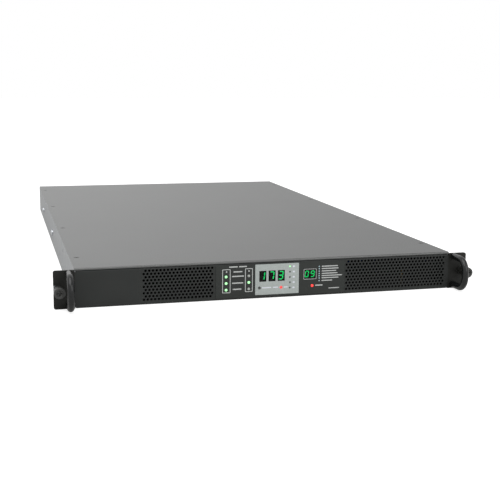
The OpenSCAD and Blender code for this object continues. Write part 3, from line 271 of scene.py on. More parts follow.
def bare_metal(name, colour, rough, grain_mm=0.6, spread=0.06):
    """Plated, turned or drawn metal: fine tool marks vary the gloss and leave the colour almost even."""
    made, tree, shader, place = new_material(name, Metallic=1.0)
    base = linear(colour)
    marks = speckle(tree, place, grain_mm, 4.0)
    cloud = speckle(tree, place, grain_mm * 12, 1.0)
    set_input(tree, shader, "Base Color", two_tone(tree, cloud, shade(base, 0.9), shade(base, 1.05)))
    set_input(tree, shader, "Roughness", ranged(tree, marks, rough - spread, rough + spread))
    bumped(tree, shader, marks, 0.006, 0.3)
    return made


def blackened(name, colour):
    """Black oxide on turned steel: a thin matt layer that lets a little of the metal's gloss through."""
    made, tree, shader, place = new_material(name, IOR=1.9, Metallic=0.35)
    base = linear(colour)
    marks = speckle(tree, place, 0.7, 4.0)
    set_input(tree, shader, "Base Color", two_tone(tree, marks, shade(base, 0.8), shade(base, 1.25)))
    set_input(tree, shader, "Roughness", ranged(tree, marks, 0.38, 0.52))
    bumped(tree, shader, marks, 0.008, 0.3)
    return made


def moulded(name, colour, rough, grain_mm=0.9):
    """Glass-filled nylon or ABS from a spark-eroded mould: a fine even texture and a dull sheen."""
    made, tree, shader, place = new_material(name, IOR=1.5)
    base = linear(colour)
    grain = speckle(tree, place, grain_mm, 3.0)
    set_input(tree, shader, "Base Color", two_tone(tree, grain, shade(base, 0.88), shade(base, 1.12)))
    set_input(tree, shader, "Roughness", ranged(tree, grain, rough - 0.06, rough + 0.06))
    bumped(tree, shader, grain, 0.012, 0.4)
    return made


def printed_film(name, colour, rough, grain_mm=0.7, spread=0.05):
    """Polyester overlay printed from behind: a velvet face with a grain of a few tenths of a millimetre."""
    made, tree, shader, place = new_material(name, IOR=1.36)
    base = linear(colour)
    grain = speckle(tree, place, grain_mm, 2.0)
    dark, light = shade(base, 1 - spread), shade(base, 1 + spread)
    set_input(tree, shader, "Base Color", two_tone(tree, grain, dark, light))
    set_input(tree, shader, "Roughness", ranged(tree, grain, rough - 0.04, rough + 0.04))
    bumped(tree, shader, grain, 0.008, 0.3)
    return made


def ink(name, colour):
    """Screen ink: flat and slightly broken at its grain."""
    made, tree, shader, place = new_material(name, IOR=1.5, Roughness=0.55)
    base = linear(colour)
    grain = speckle(tree, place, 0.5, 2.0)
    set_input(tree, shader, "Base Color", two_tone(tree, grain, shade(base, 0.86), shade(base, 1.04)))
    return made


def lit(name, colour, strength):
    """A diffusing epoxy lens or segment with a lamp behind it: brighter in its middle than at its rim."""
    made, tree, shader, place = new_material(name, IOR=1.54, Roughness=0.25, Emission_Strength=strength)
    base = linear(colour)
    rim = add(tree, "ShaderNodeLayerWeight", {"Blend": 0.35}).outputs["Facing"]
    tint = add(tree, "ShaderNodeValToRGB", {"Fac": rim})
    tint.color_ramp.elements[0].color = base
    tint.color_ramp.elements[1].color = shade(base, 0.55)
    set_input(tree, shader, "Base Color", tint.outputs["Color"])
    set_input(tree, shader, "Emission Color", tint.outputs["Color"])
    return made


def unlit_lens(name):
    """Milky epoxy lenses on the left, and the smoked small ones right of the panel's middle."""
    made, tree, shader, place = new_material(name, IOR=1.54, Roughness=0.22)
    across = add(tree, "ShaderNodeSeparateXYZ", {"Vector": place}).outputs["X"]
    side = add(tree, "ShaderNodeMath", {0: across, 1: 0.0}, operation="GREATER_THAN").outputs["Value"]
    blend = add(tree, "ShaderNodeMix", {"Factor": side}, data_type="RGBA")
    blend.inputs[6].default_value = linear("#a4a8a4")
    blend.inputs[7].default_value = linear("#565b58")
    set_input(tree, shader, "Base Color", blend.outputs[2])
    bumped(tree, shader, speckle(tree, place, 0.6), 0.005, 0.2)
    return made


def window_pane(name):
    """Smoked polycarbonate with an anti-glare face: it lets most of the digits' light through."""
    made, tree, shader, place = new_material(name, IOR=1.12, Alpha=0.2, Base_Color=linear("#020302"))
    set_input(tree, shader, "Roughness", ranged(tree, speckle(tree, place, 1.0), 0.1, 0.2))
    return made


def solder_mask(name):
    """Fibreglass board under green solder mask: the tracks below show as slightly lighter lines."""
    made, tree, shader, place = new_material(name, IOR=1.5, Roughness=0.3)
    tracks = add(
        tree, "ShaderNodeTexBrick",
        {
            "Vector": place, "Scale": 1 / (14 * MM), "Mortar Size": 0.03,
            "Color1": linear("#12421f"), "Color2": linear("#164d26"), "Mortar": linear("#2c7040"),
        },
    )
    set_input(tree, shader, "Base Color", tracks.outputs["Color"])
    bumped(tree, shader, tracks.outputs["Fac"], 0.03, 0.4)
    return made


def banded(name, dark, light, pitch_mm, direction, metallic=0.0, rough=0.45):
    """Stacked sheets, wound wire or ribbon cores: even bands one pitch wide."""
    made, tree, shader, place = new_material(name, Metallic=metallic, Roughness=rough)
    bands = add(
        tree, "ShaderNodeTexWave", {"Vector": place, "Scale": TURN / 20 / (pitch_mm * MM)},
        bands_direction=direction,
    ).outputs["Fac"]
    set_input(tree, shader, "Base Color", two_tone(tree, bands, linear(dark), linear(light)))
    bumped(tree, shader, bands, pitch_mm / 4, 0.5)
    return made


def dress(material, *names):
    """Gives CAD nodes a finish through their own material slots."""
    for name in names:
        held = NODES[name]
        if not held.material_slots:
            held.data.materials.append(material)
        for one in held.material_slots:
            one.material = material


# ---------------------------------------------------------------- shape helpers


def skin(rings):
    """Joins n rings of m points with quads and closes each end with a fan to the middle of its ring."""
    n, m, _ = rings.shape
    index = np.arange(n * m).reshape(n, m)
    a, b = index[:-1], index[1:]
    quads = np.stack([a, np.roll(a, -1, 1), np.roll(b, -1, 1), b], -1).reshape(-1, 4)
    first, last = index[0], index[-1]
    low = np.stack([np.full(m, n * m), np.roll(first, -1), first], -1)
    high = np.stack([np.full(m, n * m + 1), last, np.roll(last, -1)], -1)
    points = np.vstack([rings.reshape(-1, 3), rings[0].mean(0), rings[-1].mean(0)])
    return points, quads.tolist() + low.tolist() + high.tolist()


def make_piece(name, parts, material, body, smooth_deg=35):
    """One object at the origin from closed parts given in millimetres, with its normals turned outwards."""
    points, faces, start = [], [], 0
    for part_points, part_faces in parts:
        points.append(part_points)
        faces += [[i + start for i in face] for face in part_faces]
        start += len(part_points)
    mesh = bpy.data.meshes.new(name)
    mesh.from_pydata((np.vstack(points) * MM).tolist(), [], faces)
    work = bmesh.new()
    work.from_mesh(mesh)
    bmesh.ops.recalc_face_normals(work, faces=work.faces)
    work.to_mesh(mesh)
    work.free()
    mesh.shade_smooth()
    mesh.set_sharp_from_angle(angle=math.radians(smooth_deg))
    mesh.materials.append(material)
    made = bpy.data.objects.new(name, mesh)
    bpy.context.scene.collection.objects.link(made)
    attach(made, body)
    return made


def rounded_outline(x0, x1, z0, z1, r, steps=4):
    """Corners of a rectangle swept as quarter circles of radius r, counter-clockwise in x and z."""
    turns = np.linspace(0, math.pi / 2, steps + 1)
    points = []
    centres = [(x1 - r, z1 - r), (x0 + r, z1 - r), (x0 + r, z0 + r), (x1 - r, z0 + r)]
    for corner, (cx, cz) in enumerate(centres):
        angle = turns + corner * math.pi / 2
        points.append(np.stack([cx + r * np.cos(angle), cz + r * np.sin(angle)], -1))
    return np.vstack(points)


def slab(outline, y0, y1):
    """An outline in x and z carried from y0 to y1."""
    rings = np.zeros((2, len(outline), 3))
    rings[:, :, [0, 2]] = outline
    rings[0, :, 1], rings[1, :, 1] = y0, y1
    return skin(rings)


def frame_line(x0, x1, z0, z1, width, face, height):
    """A printed outline: four rings (outer and inner, back and front) closed into a rectangular tube."""
    outer = rounded_outline(x0, x1, z0, z1, 0.8)
    inner = rounded_outline(x0 + width, x1 - width, z0 + width, z1 - width, 0.4)
    m = len(outer)
    loops = []
    for outline, y in ((outer, face), (outer, face - height), (inner, face - height), (inner, face)):
        loops.append(np.stack([outline[:, 0], np.full(m, y), outline[:, 1]], -1))
    points = np.vstack(loops)
    index = np.arange(4 * m).reshape(4, m)
    after = np.roll(index, -1, 0)
    quads = np.stack([index, np.roll(index, -1, 1), np.roll(after, -1, 1), after], -1).reshape(-1, 4)
    return points, quads.tolist()


def bar(x0, x1, z, height, face, ink_height):
    """A plain printed bar with round ends."""
    outline = rounded_outline(x0, x1, z - height / 2, z + height / 2, height * 0.35)
    return slab(outline, face - ink_height, face)


def turned(profile, sides, centre, axis, shape=None):
    """A profile of (length along the axis, radius), turned; shape(s, r, angle) may move each point."""
    s, angle = np.meshgrid(profile[:, 0], np.linspace(0, TURN, sides, endpoint=False), indexing="ij")
    r = np.repeat(profile[:, 1:2], sides, 1)
    if shape:
        s, r = shape(s, r, angle)
    axis = np.array(axis, float)
    helper = np.array([0.0, 0.0, 1.0])
    side = np.cross(helper, axis)
    side /= np.linalg.norm(side)
    up = np.cross(axis, side)
    spread = np.cos(angle)[..., None] * side + np.sin(angle)[..., None] * up
    return skin(np.array(centre, float) + s[..., None] * axis + r[..., None] * spread)


def smooth_step(value, low, high):
    """0 below low, 1 above high, and 3t^2 - 2t^3 between."""
    t = np.clip((value - low) / (high - low), 0, 1)
    return t * t * (3 - 2 * t)


def cross_recess(s, r, angle, arm, half_width, depth):
    """Sinks the points of a face that lie inside a cross, by depth, with sloping walls."""
    x, z = np.abs(r * np.cos(angle)), np.abs(r * np.sin(angle))
    long_way, short_way = np.maximum(x, z), np.minimum(x, z)
    inside = 1 - smooth_step(short_way, half_width * 0.75, half_width * 1.35)
    inside *= 1 - smooth_step(long_way, arm * 0.85, arm * 1.1)
    return s - inside * depth


def solids(name):
    """Box of each separate solid of a CAD node, in millimetres, read from a merged copy of its mesh."""
    work = bmesh.new()
    work.from_mesh(NODES[name].data)
    bmesh.ops.remove_doubles(work, verts=work.verts, dist=1e-6)
    seen, boxes = set(), []
    for start in work.verts:
        if start in seen:
            continue
        stack, members = [start], []
        seen.add(start)
        while stack:
            one = stack.pop()
            members.append(one.co)
            for edge in one.link_edges:
                other = edge.other_vert(one)
                if other not in seen:
                    seen.add(other)
                    stack.append(other)
        held = np.array(members) / MM
        boxes.append((held.min(0), held.max(0)))
    work.free()
    return boxes


# ---------------------------------------------------------------- screws, stud, handles

# thickness of the chassis sheet, of an ear and of the washer behind a notch, in millimetres
SHEET_T = 1.2
EAR_T = 2.5
WASHER_T = 1.0

# captive thumbscrew, in millimetres, and the number of its knurls
HEAD_L = 9.0
KNURLS = 24
COLLAR_STEP = 1.4
NECK_R = 4.1
SHANK_R = 3.0
GROOVE_R = 2.5
GROOVE_W = 0.8
RECESS_DEPTH = 1.9

# earth stud with its hexagonal collar and nut, in millimetres
STUD_R = 2.5
NUT_R = 4.5
NUT_T = 3.0
NUT_BORE = 2.55

# height of the head and radius of the shank of each kind of pan-head screw, in millimetres
PAN_HEADS = {
    "side_screws": (2.6, 2.0),
    "ear_screws": (1.9, 1.6),
    "fan_screws": (1.7, 1.4),
    "handle_screws": (2.2, 2.0),
}


def pan_screw(low, high, axis, head_h, shank_r):
    """Pan head with a cross recess: height sqrt(4R^2 - r^2) - 2R + h over its seat, on a plain shank."""
    along = int(np.argmax(np.abs(axis)))
    sign = np.sign(axis[along])
    across = [i for i in range(3) if i != along]
    head_r = (high - low)[across].max() / 2
    centre = (low + high) / 2
    top = high[along] if sign > 0 else low[along]
    bottom = low[along] if sign > 0 else high[along]
    centre[along] = top - sign * head_h
    length = abs(centre[along] - bottom)
    rows = np.linspace(0.03, 1, 26) * head_r
    dome = np.sqrt(4 * head_r**2 - rows**2) - 2 * head_r + head_h
    tail = [[0.0, head_r], [0.0, shank_r], [-length * 0.5, shank_r], [-length + 0.3, shank_r]]
    tail.append([-length, shank_r - 0.3])
    profile = np.vstack([np.stack([dome, rows], -1), tail])

    def recess(s, r, angle):
        on_face = np.arange(len(profile))[:, None] < len(rows)
        sunk = cross_recess(s, r, angle, head_r * 0.56, head_r * 0.12, head_h * 0.45)
        return np.where(on_face, sunk, s), r

    return turned(profile, 64, centre, axis, recess)


def threaded(y0, y1, radius, pitch, depth, centre, sides=40):
    """A screw thread: radius less depth times the triangle wave of (length / pitch - angle / turn)."""
    rows = int((y1 - y0) / pitch * 8) + 1
    s = np.linspace(y0, y1, rows)
    profile = np.stack([s, np.full(rows, radius)], -1)

    def wave(s, r, angle):
        phase = np.mod(s / pitch - angle / TURN, 1)
        near_end = np.minimum(s - y0, y1 - s)
        taper = (1 - smooth_step(near_end, 0, pitch)) * depth
        return s, r - depth * np.abs(2 * phase - 1) - taper * 0.6

    return turned(profile, sides, centre, (0, 1, 0), wave)


def hex_nut(y0, y1, radius, bore, centre):
    """A hexagon with both faces chamfered, and a bore through it."""
    corner = np.arange(6) * TURN / 6
    steps = [(y0, 0.93), (y0 + 0.35, 1.0), (y1 - 0.35, 1.0), (y1, 0.93)]

    def hexagon(y, r):
        return np.stack([r * np.cos(corner), np.full(6, y), r * np.sin(corner)], -1)

    rings = np.array([hexagon(y, radius * k) for y, k in steps])
    if bore:
        inner = [hexagon(y, bore) for y in (y1, y0)]
        rings = np.vstack([rings, inner])
        n, m, _ = rings.shape
        index = np.arange(n * m).reshape(n, m)
        after = np.roll(index, -1, 0)
        quads = np.stack([index, np.roll(index, -1, 1), np.roll(after, -1, 1), after], -1).reshape(-1, 4)
        return rings.reshape(-1, 3) + centre, quads.tolist()
    points, faces = skin(rings)
    return points + centre, faces


def thumbscrew_shape(low, high, sizes):
    """Knurled rim, dished face with a cross recess, collar, neck, ring groove and thread, as one turning."""
    head_r = (high[0] - low[0]) / 2
    length = high[1] - low[1]
    ear_front = PANEL_FACE - low[1]
    ear_back = ear_front + EAR_T
    groove = ear_back + WASHER_T + 0.06
    thread_start = groove + 1.2
    collar_r = head_r - COLLAR_STEP
    disc = np.linspace(0.02, 0.86, 22) * head_r
    dish = -0.8 * (1 - smooth_step(disc, 3.1, 3.6))
    rows = [(-d, r) for d, r in zip(dish, disc)]
    rows += [(0.05, head_r * 0.92), (0.4, head_r * 0.985), (0.8, head_r)]
    rows += [(y, head_r) for y in np.linspace(1.0, HEAD_L - 1.0, 10)]
    rows += [(HEAD_L - 0.7, head_r), (HEAD_L - 0.3, head_r * 0.985), (HEAD_L, head_r * 0.93)]
    rows += [(HEAD_L + 0.02, collar_r), (ear_front - 0.6, collar_r), (ear_front - 0.58, NECK_R)]
    rows += [(ear_back - 0.05, NECK_R), (ear_back - 0.04, SHANK_R), (ear_back + 1.05, SHANK_R)]
    rows += [(groove, GROOVE_R), (groove + GROOVE_W, GROOVE_R), (groove + GROOVE_W + 0.02, SHANK_R)]
    thread_rows = int((length - thread_start) / sizes.m6_pitch * 8)
    rows += [(y, SHANK_R) for y in np.linspace(thread_start, length, thread_rows)]
    profile = np.array(rows)

    def detail(s, r, angle):
        on_face = np.arange(len(profile))[:, None] < len(disc)
        sunk = cross_recess(-s, r, angle, 2.4, 0.55, RECESS_DEPTH)
        on_rim = (s > 0.3) & (s < HEAD_L - 0.2) & (r > head_r * 0.9)
        grooves = sizes.knurl_depth * (0.5 - 0.5 * np.cos(KNURLS * angle))
        phase = np.mod(s / sizes.m6_pitch - angle / TURN, 1)
        on_thread = (s >= thread_start) & (r > SHANK_R - 0.4)
        end = smooth_step(s, length - sizes.m6_pitch, length) * 0.5
        r_new = np.where(on_rim, r - grooves, r)
        r_new = np.where(on_thread, r - 0.5 * np.abs(2 * phase - 1) - end, r_new)
        return np.where(on_face, -sunk, s), r_new

    start = ((low[0] + high[0]) / 2, low[1], (low[2] + high[2]) / 2)
    return turned(profile, 96, start, (0, 1, 0), detail)


def handle_shape(low, high, bend):
    """A round bar swept along a D: straight leg, quarter circle, grip, quarter circle, straight leg."""
    r = (high[0] - low[0]) / 2
    x = (low[0] + high[0]) / 2
    z0, z1 = low[2] + r, high[2] - r
    grip, foot = low[1] + r, high[1]
    turns = np.linspace(0, math.pi / 2, 25)
    leg = np.linspace(foot, grip + bend, 4)[:-1]
    path = [(y, z0) for y in leg]
    path += [(grip + bend - bend * math.sin(t), z0 + bend - bend * math.cos(t)) for t in turns]
    path += [(grip + bend - bend * math.cos(t), z1 - bend + bend * math.sin(t)) for t in turns]
    path += [(y, z1) for y in leg[::-1]]
    path = np.array(path)
    ahead = np.gradient(path, axis=0)
    ahead /= np.linalg.norm(ahead, axis=1)[:, None]
    side = np.stack([-ahead[:, 1], ahead[:, 0]], -1)
    angle = np.linspace(0, TURN, 40, endpoint=False)
    rings = np.zeros((len(path), len(angle), 3))
    rings[..., 0] = x + r * np.cos(angle)
    rings[..., 1] = path[:, None, 0] + r * np.sin(angle) * side[:, None, 0]
    rings[..., 2] = path[:, None, 1] + r * np.sin(angle) * side[:, None, 1]
    return skin(rings)


# ---------------------------------------------------- print, in mm from the panel's middle and foot

COLUMN_FRAMES = [(-56.8, -47.4, 8.2, 35.3), (-30.6, -21.7, 8.4, 35.4)]
COLUMN_MARKS = [(-51.9, 32.3), (-26.1, 32.3)]
TITLE_BARS = [(-49.0, -39.2, 37.7), (-37.6, -28.5, 37.7)]
COLUMN_LABELS = [(-44.1, -33.8, 32.0), (-45.6, -31.8, 26.9), (-45.6, -32.6, 19.2), (-44.8, -34.8, 12.1)]
LIST_ROWS = [33.8, 31.1, 28.3, 25.5, 22.9, 20.3, 17.2]
LIST_ENDS = [79.6, 80.2, 77.5, 79.0, 84.7, 80.4, 72.9]
LIST_START = 60.0
LIST_MARK_X = 57.0
ALARM_WINDOW = (38.9, 53.1, 19.9, 30.9)
ALARM_LABEL = (52.4, 61.3, 12.0)
FOOT_LABEL = (68.6, 81.5, 8.0)
METER_LABELS = [(-10.9, -0.1, 12.2), (2.0, 8.0, 12.2), (14.6, 19.5, 11.9)]
METER_MARK_X = 26.4
METER_ROWS = [35.5, 29.35, 23.2, 17.05, 10.9]


# ---------------------------------------------------------------- operators


class SheetOperator(bpy.types.Operator):
    """Finishes the folded sheets, the cover and the rack ears."""

    bl_idname = "switch.sheets"
    bl_label = "Sheets and ears"

    def execute(self, context):
        colours = context.scene.switch_colours
        dress(galvanised("galvanised_steel", colours.zinc_sheet), "chassis_tray")
        dress(powder_coat("black_powder_coat", colours.coat, 0.33, 1.88, 1.0, 0.008), "top_cover")
        dress(powder_coat("matt_powder_coat", colours.panel_coat, 0.48, 1.34), "front_panel")
        dress(powder_coat("ear_powder_coat", colours.ear_coat, 0.46, 1.36), "ear_left", "ear_right")
        dress(blackened("black_oxide", "#1b1c1b"), "cover_screws")
        return {"FINISHED"}


class DisplayOperator(bpy.types.Operator):
    """Finishes the display: films, panes, digits, lamps and the button."""

    bl_idname = "switch.display"
    bl_label = "Display"

    def execute(self, context):
        colours = context.scene.switch_colours
        dress(printed_film("dark_overlay", colours.overlay, 0.42), "display_overlay")
        dress(printed_film("silver_plate", colours.silver, 0.4, 0.9, 0.09), "meter_fascia")
        dress(window_pane("smoked_pane"), "display_windows")
        dress(moulded("display_block", "#020302", 0.7), "digit_modules")
        dress(lit("green_segment", colours.digit, 0.9), "digit_segments")
        dress(lit("green_lens", colours.green, 0.7), "green_lamps")
        dress(lit("red_lens", colours.red, 0.95), "red_lamps")
        dress(unlit_lens("unlit_lens"), "dark_lamps")
        dress(moulded("button_plastic", "#3b3d3b", 0.4), "select_button")
        dress(moulded("switch_body", "#2c2d2c", 0.5), "button_switch")
        return {"FINISHED"}


class PrintOperator(bpy.types.Operator):
    """Prints plain bars, marks and outlines where the panel carries words."""

    bl_idname = "switch.print"
    bl_label = "Print"

    def execute(self, context):
        sizes = context.scene.switch_sizes
        colours = context.scene.switch_colours
        face, ink_h, line = OVERLAY_FACE, sizes.ink_height, sizes.line_width
        label, small = sizes.label_height, sizes.small_label_height
        light = ink("light_ink", colours.light_ink)
        parts = [frame_line(*edges, line, face, ink_h) for edges in COLUMN_FRAMES]
        parts += [bar(x - 0.8, x + 0.8, z, 1.7, face, ink_h) for x, z in COLUMN_MARKS]
        parts += [bar(x0, x1, z, label, face, ink_h) for x0, x1, z in TITLE_BARS + COLUMN_LABELS]
        parts += [bar(*ALARM_LABEL, label, face, ink_h), bar(*FOOT_LABEL, 1.0, face, ink_h)]
        parts += [bar(LIST_START, end, z, small, face, ink_h) for z, end in zip(LIST_ROWS, LIST_ENDS)]
        x0, x1, z0, z1 = ALARM_WINDOW
        parts.append(frame_line(x0 - 0.55, x1 + 0.55, z0 - 0.55, z1 + 0.55, 0.5, face, ink_h))
        make_piece("panel_print", parts, light, "chassis")
        cool = ink("cool_ink", colours.blue_ink)
        marks = [bar(LIST_MARK_X - 0.75, LIST_MARK_X + 0.75, z, 1.5, face, ink_h) for z in LIST_ROWS]
        make_piece("list_marks", marks, cool, "chassis")
        pale = ink("pale_ink", colours.pale_ink)
        meter = [bar(x0, x1, z, label, FASCIA_FACE, ink_h) for x0, x1, z in METER_LABELS]
        meter += [bar(METER_MARK_X - 1.3, METER_MARK_X + 1.3, z, 1.9, FASCIA_FACE, ink_h) for z in METER_ROWS]
        make_piece("meter_print", meter, pale, "chassis")
        return {"FINISHED"}


class HandleOperator(bpy.types.Operator):
    """Bends the two bar handles and gives them gloss enamel."""

    bl_idname = "switch.handles"
    bl_label = "Handles"

    def execute(self, context):
        sizes, colours = context.scene.switch_sizes, context.scene.switch_colours
        finish = enamel("gloss_enamel", colours.handle)
        for side in ("left", "right"):
            node = "handle_" + side
            low, high = (np.array(corner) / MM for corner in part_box(node))
            made = make_piece("bar_" + node, [handle_shape(low, high, sizes.handle_bend)], finish,
                              "chassis", 60)
            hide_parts(node)
        return {"FINISHED"}


class ThumbscrewOperator(bpy.types.Operator):
    """Turns the two captive thumbscrews with knurl, recess and thread, and finishes rings and washers."""

    bl_idname = "switch.thumbscrews"
    bl_label = "Thumbscrews"

    def execute(self, context):
        sizes = context.scene.switch_sizes
        finish = blackened("blackened_thumbscrew", "#171815")
        for side in ("left", "right"):
            node = "thumbscrew_" + side
            low, high = (np.array(corner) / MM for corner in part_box(node))
            made = make_piece("turned_" + node, [thumbscrew_shape(low, high, sizes)], finish,
                              node, 40)
            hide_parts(node)
        zinc = bare_metal("zinc_ring", "#c9ccd0", 0.26)
        dress(zinc, "retaining_ring_left", "retaining_ring_right", "notch_washers")
        return {"FINISHED"}


class ScrewOperator(bpy.types.Operator):
    """Gives the pan-head screws their cross recesses."""

    bl_idname = "switch.screws"
    bl_label = "Screws"

    def execute(self, context):
        zinc = bare_metal("bright_zinc", "#cfd2d6", 0.2)
        for node, (head_h, shank_r) in PAN_HEADS.items():
            parts = []
            for low, high in solids(node):
                middle = (low[0] + high[0]) / 2
                along_y = node in ("fan_screws", "handle_screws")
                axis = (0, 1, 0) if along_y else (math.copysign(1, middle), 0, 0)
                parts.append(pan_screw(low, high, axis, head_h, shank_r))
            made = make_piece("recessed_" + node, parts, zinc, "chassis", 40)
            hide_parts(node)
        return {"FINISHED"}


class RearOperator(bpy.types.Operator):
    """Finishes the rear panel: fans, guards, sockets, breakers, jack and earth stud."""

    bl_idname = "switch.rear"
    bl_label = "Rear panel"

    def execute(self, context):
        sizes = context.scene.switch_sizes
        black = moulded("socket_nylon", "#1c1d1c", 0.5)
        dress(black, "power_inlets", "small_outlets", "large_outlet", "breaker_bodies")
        dress(moulded("fan_frame_plastic", "#191a19", 0.48), "fan_frames")
        dress(moulded("fan_blade_plastic", "#222322", 0.42), "fan_rotor_1", "fan_rotor_2", "fan_rotor_3")
        dress(bare_metal("guard_wire", "#c6c9cc", 0.22), "finger_guards")
        dress(bare_metal("nickel_plate", "#c9c8c2", 0.24), "inlet_pins", "socket_tabs", "breaker_nuts")
        dress(bare_metal("tinned_shell", "#bfc0bd", 0.34), "network_jack")
        dress(moulded("reset_plastic", "#dcdcd6", 0.35), "reset_button_a", "reset_button_b")
        self.make_jack_contacts()
        self.make_earth_stud(sizes)
        return {"FINISHED"}

    def make_jack_contacts(self):
        """Eight sprung wires that slope from the roof of the socket towards its floor."""
        low, high = (np.array(corner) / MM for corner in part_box("network_jack"))
        middle, back = (low[0] + high[0]) / 2, high[1]
        gold = bare_metal("contact_gold", "#d9b25a", 0.2)
        wires, pitch, wire_r = 8, 1.02, 0.2
        steps = [(4.0, 3.0), (8.0, 3.6), (15.0, 6.5)]
        path = np.array([(back - inward, high[2] - down) for inward, down in steps])
        angle = np.linspace(0, TURN, 8, endpoint=False)
        parts = []
        for i in range(wires):
            x = middle + (i - (wires - 1) / 2) * pitch
            rings = np.zeros((len(path), len(angle), 3))
            rings[..., 0] = x + wire_r * np.cos(angle)
            rings[..., 1] = path[:, None, 0]
            rings[..., 2] = path[:, None, 1] + wire_r * np.sin(angle)
            parts.append(skin(rings))
        make_piece("jack_contacts", parts, gold, "chassis")

    def make_earth_stud(self, sizes):
        """M5 stud with a hex collar outside the panel and a nut behind it."""
        low, high = (np.array(corner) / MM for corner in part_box("earth_stud"))
        centre = np.array([(low[0] + high[0]) / 2, 0.0, (low[2] + high[2]) / 2])
        inner_face = REAR_FACE - SHEET_T
        parts = [
            threaded(low[1], high[1], STUD_R, sizes.m5_pitch, 0.4, centre),
            hex_nut(REAR_FACE, REAR_FACE + NUT_T, NUT_R, None, centre),
            hex_nut(inner_face - NUT_T, inner_face, NUT_R, NUT_BORE, centre),
        ]
        made = make_piece("threaded_earth_stud", parts, bare_metal("plain_brass", "#c2a15a", 0.26),
                          "chassis", 30)
        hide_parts("earth_stud")


class InsideOperator(bpy.types.Operator):
    """Finishes the boards, the switching stage and the bars inside."""

    bl_idname = "switch.inside"
    bl_label = "Inside"

    def execute(self, context):
        dress(solder_mask("green_board"), "display_board", "outlet_board", "filter_board", "control_board")
        dress(banded("wound_copper", "#5f2f14", "#b5703c", 0.9, "X", 0.6), "filter_chokes")
        dress(moulded("capacitor_case", "#b79f22", 0.35), "film_capacitors")
        dress(moulded("arrester_case", "#26499a", 0.3), "surge_arresters")
        dress(moulded("chip_epoxy", "#1d1e1e", 0.5), "control_parts")
        dress(banded("laminated_core", "#4c4c48", "#8b8b84", 0.5, "Y", 0.7), "control_transformer")
        dress(bare_metal("brass_pillar", "#bf9f5c", 0.28), "board_pillars")
        dress(banded("flat_cable", "#7c828a", "#a9aeb6", 1.27, "X"), "ribbon_cable")
        dress(bare_metal("extruded_aluminium", "#c4c6c9", 0.36, 1.2), "heat_sinks")
        dress(moulded("module_epoxy", "#1a1b1b", 0.42), "thyristor_modules", "current_sensors")
        dress(moulded("relay_case", "#2f5583", 0.34), "backfeed_relays")
        dress(bare_metal("bright_copper", "#c57a4a", 0.3), "source_bars", "output_bars")
        return {"FINISHED"}


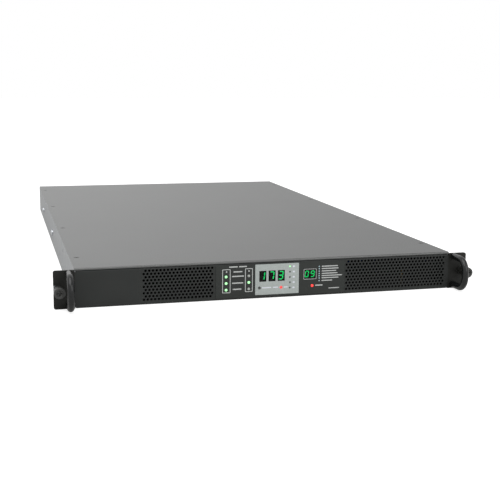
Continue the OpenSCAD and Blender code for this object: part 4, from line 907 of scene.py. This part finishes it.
class StageOperator(bpy.types.Operator):
    """Sets the floor, the backdrop, the lamps and the camera."""

    bl_idname = "switch.stage"
    bl_label = "Stage"

    def execute(self, context):
        stage = context.scene.switch_stage
        context.scene.view_settings.view_transform = "Standard"
        self.make_world(stage)
        self.make_floor()
        self.make_lamp("key", (-0.7, -0.9, 2.4), (0, 0, 0), 2.4, stage.key_power)
        self.make_lamp("fill", (1.2, -2.4, 1.1), (0, 0, 0), 1.8, stage.fill_power)
        self.make_camera(stage)
        return {"FINISHED"}

    def seen_directly(self, tree, path):
        """1 for camera and transmission rays, and 0 for the rays that light the object or mirror in it."""
        direct = {0: path.outputs["Is Camera Ray"], 1: path.outputs["Is Transmission Ray"]}
        return add(tree, "ShaderNodeMath", direct, operation="MAXIMUM").outputs["Value"]

    def make_world(self, stage):
        """White where it is seen, fading to the right where it is mirrored, and softer where it lights."""
        world = bpy.data.worlds.new("white_backdrop")
        world.use_nodes = True
        tree = world.node_tree
        tree.nodes.clear()
        place = add(tree, "ShaderNodeTexCoord").outputs["Generated"]
        across = add(tree, "ShaderNodeSeparateXYZ", {"Vector": place}).outputs["X"]
        fade = {"Value": across, "From Min": 0.08, "From Max": 0.42, "To Min": 1.0, "To Max": 0.72}
        mirrored = add(tree, "ShaderNodeMapRange", fade).outputs["Result"]
        path = add(tree, "ShaderNodeLightPath")
        lighting = {"Value": path.outputs["Is Glossy Ray"], "To Min": stage.world_level, "To Max": mirrored}
        unseen = add(tree, "ShaderNodeMapRange", lighting).outputs["Result"]
        seen = self.seen_directly(tree, path)
        strength = add(
            tree, "ShaderNodeMapRange", {"Value": seen, "To Min": unseen, "To Max": 1.0}
        ).outputs["Result"]
        light = add(tree, "ShaderNodeBackground", {"Color": (1, 1, 1, 1), "Strength": strength})
        add(tree, "ShaderNodeOutputWorld", {"Surface": light.outputs["Background"]})
        bpy.context.scene.world = world

    def make_floor(self):
        """A pale floor that shows white and keeps the object's shadow."""
        half = 8.0
        mesh = bpy.data.meshes.new("floor")
        z = CAD_BOX[0][2] - 0.0002
        corners = [(-half, -half, z), (half, -half, z), (half, half, z), (-half, half, z)]
        mesh.from_pydata(corners, [], [(0, 1, 2, 3)])
        floor = bpy.data.objects.new("floor", mesh)
        bpy.context.scene.collection.objects.link(floor)
        paint = bpy.data.materials.new("pale_floor")
        paint.use_nodes = True
        tree = paint.node_tree
        tree.nodes.clear()
        lighting = add(tree, "ShaderNodeBsdfDiffuse", {"Color": linear("#dcdcda")})
        shadowed = add(tree, "ShaderNodeBsdfDiffuse", {"Color": linear("#b4b4b4")})
        glow = add(tree, "ShaderNodeEmission", {"Color": (1, 1, 1, 1), "Strength": 0.8})
        shown = add(tree, "ShaderNodeAddShader", {0: shadowed.outputs["BSDF"], 1: glow.outputs["Emission"]})
        path = add(tree, "ShaderNodeLightPath")
        seen = self.seen_directly(tree, path)
        looks = {0: seen, 1: lighting.outputs["BSDF"], 2: shown.outputs["Shader"]}
        mixed = add(tree, "ShaderNodeMixShader", looks)
        add(tree, "ShaderNodeOutputMaterial", {"Surface": mixed.outputs["Shader"]})
        mesh.materials.append(paint)

    def make_lamp(self, name, place, target, size, power):
        """A large square lamp that looks at a point."""
        data = bpy.data.lights.new(name, "AREA")
        data.size = size
        data.energy = power
        lamp = bpy.data.objects.new(name, data)
        bpy.context.scene.collection.objects.link(lamp)
        lamp.location = place
        lamp.rotation_euler = (Vector(target) - Vector(place)).to_track_quat("-Z", "Y").to_euler()

    def make_camera(self, stage):
        """Camera axes from yaw, pitch and roll: ahead, right and up by the usual products."""
        data = bpy.data.cameras.new("camera")
        data.lens = stage.lens
        data.clip_end = 50.0
        camera = bpy.data.objects.new("camera", data)
        bpy.context.scene.collection.objects.link(camera)
        yaw, pitch, roll = stage.camera_yaw, stage.camera_pitch, stage.camera_roll
        ahead = Vector((math.sin(yaw) * math.cos(pitch), math.cos(yaw) * math.cos(pitch), -math.sin(pitch)))
        right = Vector((math.cos(yaw), -math.sin(yaw), 0))
        up = right.cross(ahead)
        turned_right = math.cos(roll) * right + math.sin(roll) * up
        turned_up = -math.sin(roll) * right + math.cos(roll) * up
        axes = Matrix((turned_right, turned_up, -ahead)).transposed()
        camera.matrix_world = Matrix.Translation(Vector(stage.camera_at)) @ axes.to_4x4()
        bpy.context.scene.camera = camera


class SwitchPanel(bpy.types.Panel):
    """Lists the steps in the sidebar."""

    bl_idname = "VIEW3D_PT_switch"
    bl_label = "Rack transfer switch"
    bl_space_type = "VIEW_3D"
    bl_region_type = "UI"
    bl_category = "Switch"

    def draw(self, context):
        for operator in OPERATORS:
            self.layout.operator(operator.bl_idname)


OPERATORS = (
    StageOperator, SheetOperator, DisplayOperator, PrintOperator, HandleOperator, ThumbscrewOperator,
    ScrewOperator, RearOperator, InsideOperator,
)
GROUPS = (SwitchSizes, SwitchColours, StageSettings)


def register():
    for kind in GROUPS + OPERATORS + (SwitchPanel,):
        bpy.utils.register_class(kind)
    bpy.types.Scene.switch_sizes = bpy.props.PointerProperty(type=SwitchSizes)
    bpy.types.Scene.switch_colours = bpy.props.PointerProperty(type=SwitchColours)
    bpy.types.Scene.switch_stage = bpy.props.PointerProperty(type=StageSettings)


def unregister():
    del bpy.types.Scene.switch_sizes
    del bpy.types.Scene.switch_colours
    del bpy.types.Scene.switch_stage
    for kind in reversed(GROUPS + OPERATORS + (SwitchPanel,)):
        bpy.utils.unregister_class(kind)


def main():
    register()
    for operator in OPERATORS:
        group, name = operator.bl_idname.split(".")
        if getattr(getattr(bpy.ops, group), name)() != {"FINISHED"}:
            raise RuntimeError(operator.bl_idname + " did not finish")


if __name__ == "__main__":
    main()
